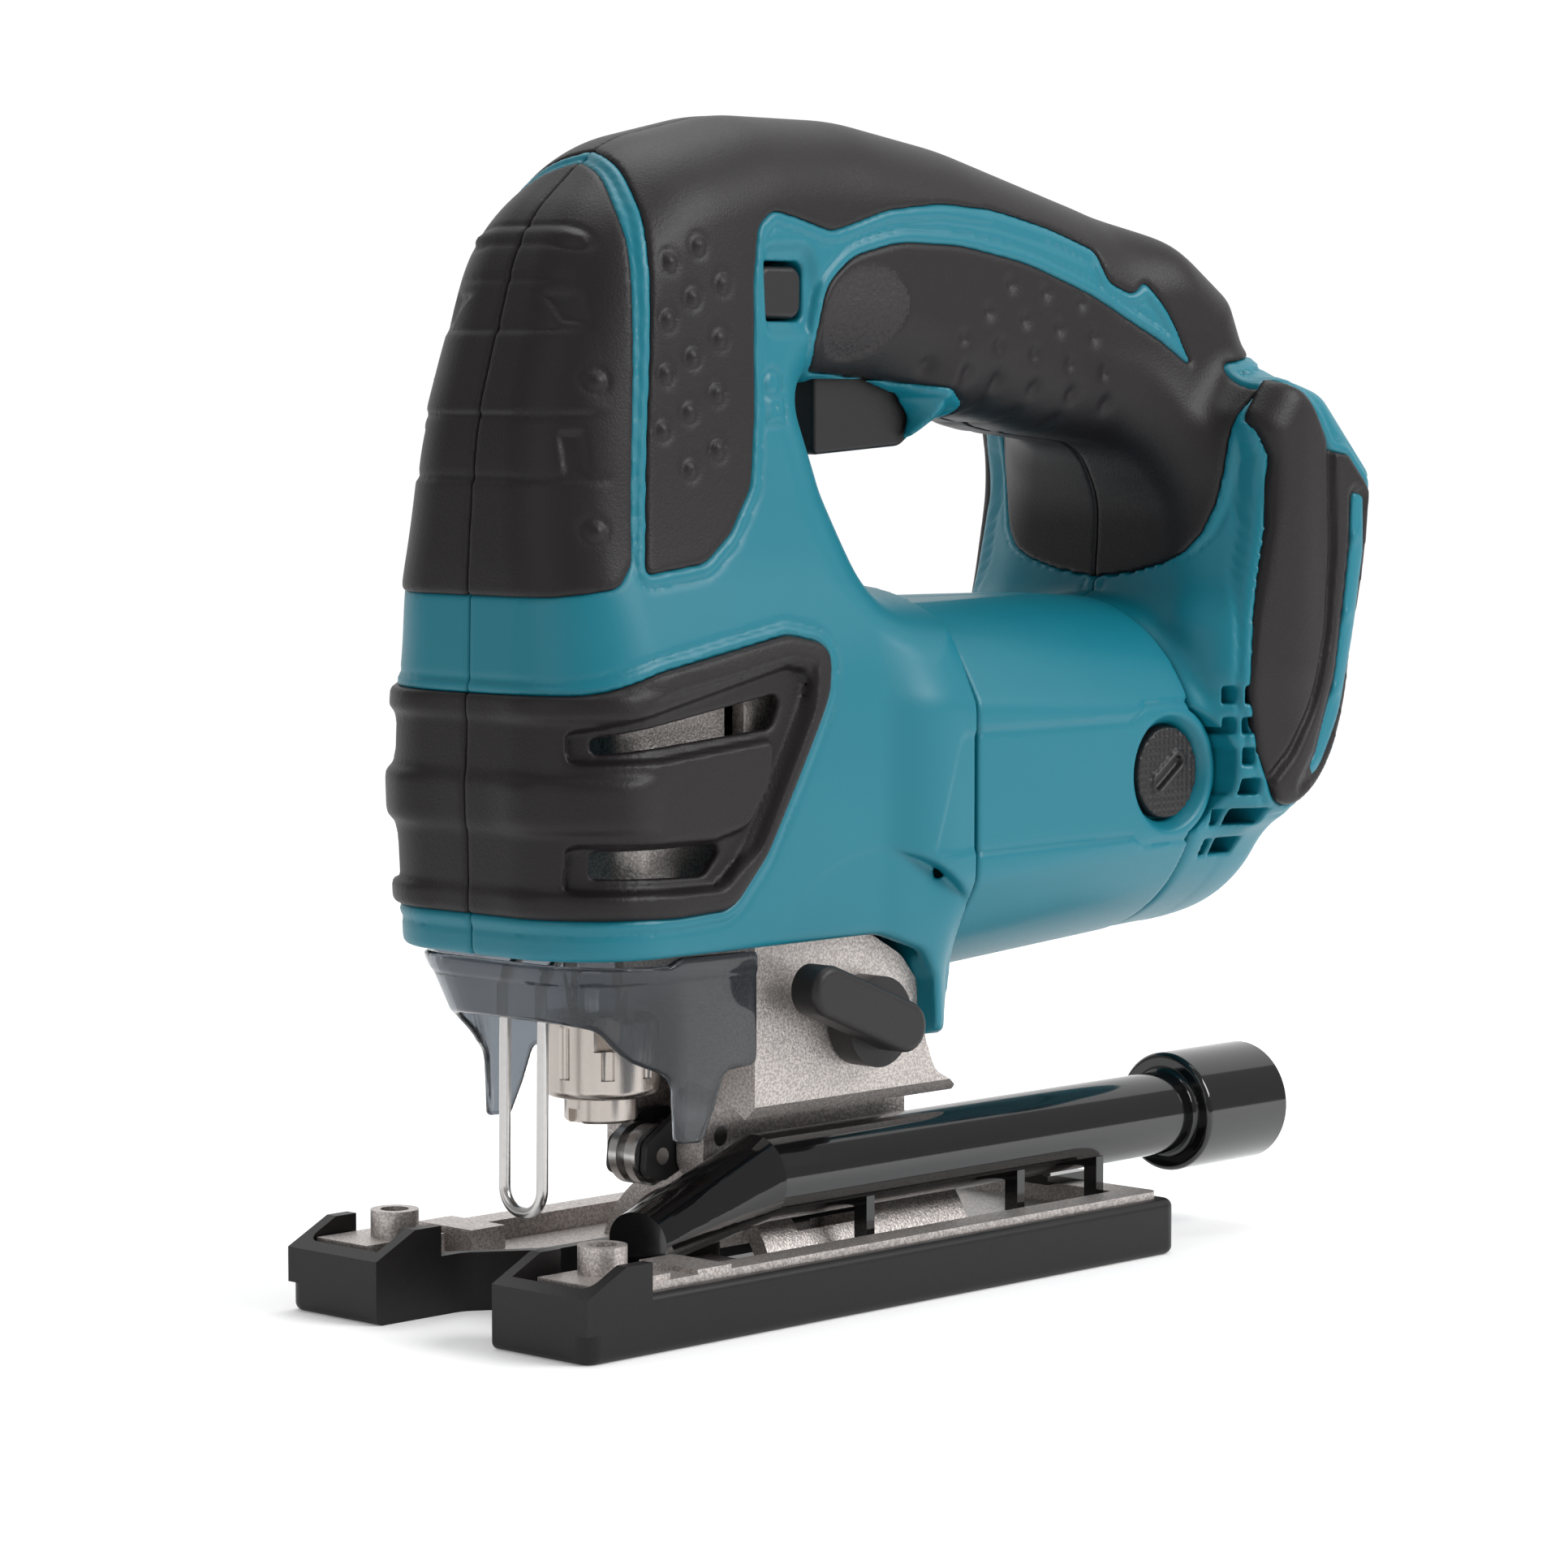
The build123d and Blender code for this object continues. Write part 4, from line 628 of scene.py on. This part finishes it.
# ---------------------------------------------------------------- brush caps
cap = Grid((BRUSH[0] - 10, 25.5, BRUSH[1] - 10), (BRUSH[0] + 10, 32.5, BRUSH[1] + 10), FINE)
a, b = cap.d - BRUSH[0], cap.z - BRUSH[1]
far = np.sqrt(a * a + b * b)
turned_a, turned_b = a * cos(0.62) + b * sin(0.62), b * cos(0.62) - a * sin(0.62)
knurl = 0.26 * np.abs(np.sin(a * 2.4)) + 0.26 * np.abs(np.sin(b * 2.4))
oval = np.sqrt(np.maximum(np.abs(turned_a) - 3.4, 0) ** 2 + turned_b ** 2)
face = cap.w - 30.2 + knurl * ease(oval, 1.9, 2.3) - 0.25 * (1 - ease(oval, 1.9, 2.2))
face = face + 1.3 * (1 - ease(oval, 0.8, 1.15))
cap_field = common(common(face + 1.0, far - CAP_RADIUS, 0.6), 26.2 - cap.w)
points, quads = skin(cap_field, cap)
for hand, name in SIDES:
    made = piece("brush_cap_" + name, points, quads, "root", BLACK, hand)
    if hand < 0:
        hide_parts("brush_caps")

# ---------------------------------------------------------------- dust cover
cover = Grid((11, -27, 30), (54.5, 27, 65.5), FINE + 0.1)
plan = outline((cover.d, cover.w), [(60, -25.1, 0), (12.9, -25.1, 17), (12.9, 25.1, 17), (60, 25.1, 0)])
lean = 0.42 * np.maximum(62.0 - cover.z, 0) * (1 - ease(cover.d, 24, 36))
wall = plan + lean + 0.35 * ease(-cover.z, -60.2, -59.4)
wall = common(wall, -(wall + 1.7))
profile = outline((cover.d, cover.z), [(8, 63.4, 0), (31.5, 62.4, 1), (34.5, 63.6, 1), (53, 63.4, 1.5),
                                       (53, 43.6, 2), (45.2, 43.2, 2), (42.6, 37, 4), (39.6, 31.4, 1.2),
                                       (34.2, 31.8, 1.2), (33.6, 43, 4), (28, 45.8, 4), (21.5, 51.6, 6),
                                       (8, 55.6, 0)])
cover_field = common(wall, profile, 0.6)
points, quads = skin(cover_field, cover)
made = piece("dust_shield", points, quads, "dust_cover", SMOKE, 1)
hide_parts("dust_cover")

# ---------------------------------------------------------------- studio
def studio_look(name, white, glow):
    """Plain material of the set, with a little light of its own."""
    made = bpy.data.materials.new(name)
    made.use_nodes = True
    shader = made.node_tree.nodes["Principled BSDF"]
    shader.inputs["Base Color"].default_value = (white, white, white, 1)
    shader.inputs["Roughness"].default_value = 0.9
    shader.inputs["Emission Color"].default_value = (1, 1, 1, 1)
    shader.inputs["Emission Strength"].default_value = glow
    return made


bpy.ops.mesh.primitive_plane_add(size=8)
floor = bpy.context.object
floor.name = "studio_floor"
floor.data.materials.append(studio_look("studio_white", 0.93, 0.16))
bpy.ops.mesh.primitive_plane_add(size=3.2, location=(0.69, 0.67, 1.4),
                                 rotation=(radians(90), 0, radians(VIEW_TURN)))
backdrop = bpy.context.object
backdrop.name = "studio_backdrop"
backdrop.data.materials.append(studio_look("studio_glow", 0.0, 1.0))

world = bpy.data.worlds.new("studio")
bpy.context.scene.world = world
world.use_nodes = True
world.node_tree.nodes["Background"].inputs["Color"].default_value = (1, 1, 1, 1)
world.node_tree.nodes["Background"].inputs["Strength"].default_value = 0.36


def softbox(name, place, target, width, height, power):
    """Area light that faces a target."""
    lamp = bpy.data.lights.new(name, "AREA")
    lamp.shape = "RECTANGLE"
    lamp.size, lamp.size_y = width, height
    lamp.energy = power
    thing = bpy.data.objects.new(name, lamp)
    bpy.context.scene.collection.objects.link(thing)
    thing.location = place
    aim = Vector(target) - Vector(place)
    thing.rotation_euler = aim.to_track_quat("-Z", "Y").to_euler()


softbox("key", (0.45, -0.95, 0.8), (0, 0, 0.1), 0.7, 0.6, 12.5)
softbox("fill", (-1.1, -0.1, 0.5), (0, 0, 0.1), 0.5, 0.8, 1.3)
softbox("top", (0.15, 0.15, 1.2), (0, 0, 0.1), 0.8, 0.8, 7)

camera_data = bpy.data.cameras.new("photo_camera")
camera_data.lens = 116.65
camera_data.sensor_width = 36
camera = bpy.data.objects.new("photo_camera", camera_data)
bpy.context.scene.collection.objects.link(camera)
camera.location = (-0.6735, -0.63016, 0.16344)
camera.rotation_euler = (radians(90 - VIEW_DROP), 0, radians(VIEW_TURN))
bpy.context.scene.camera = camera
bpy.context.scene.view_settings.view_transform = "Standard"
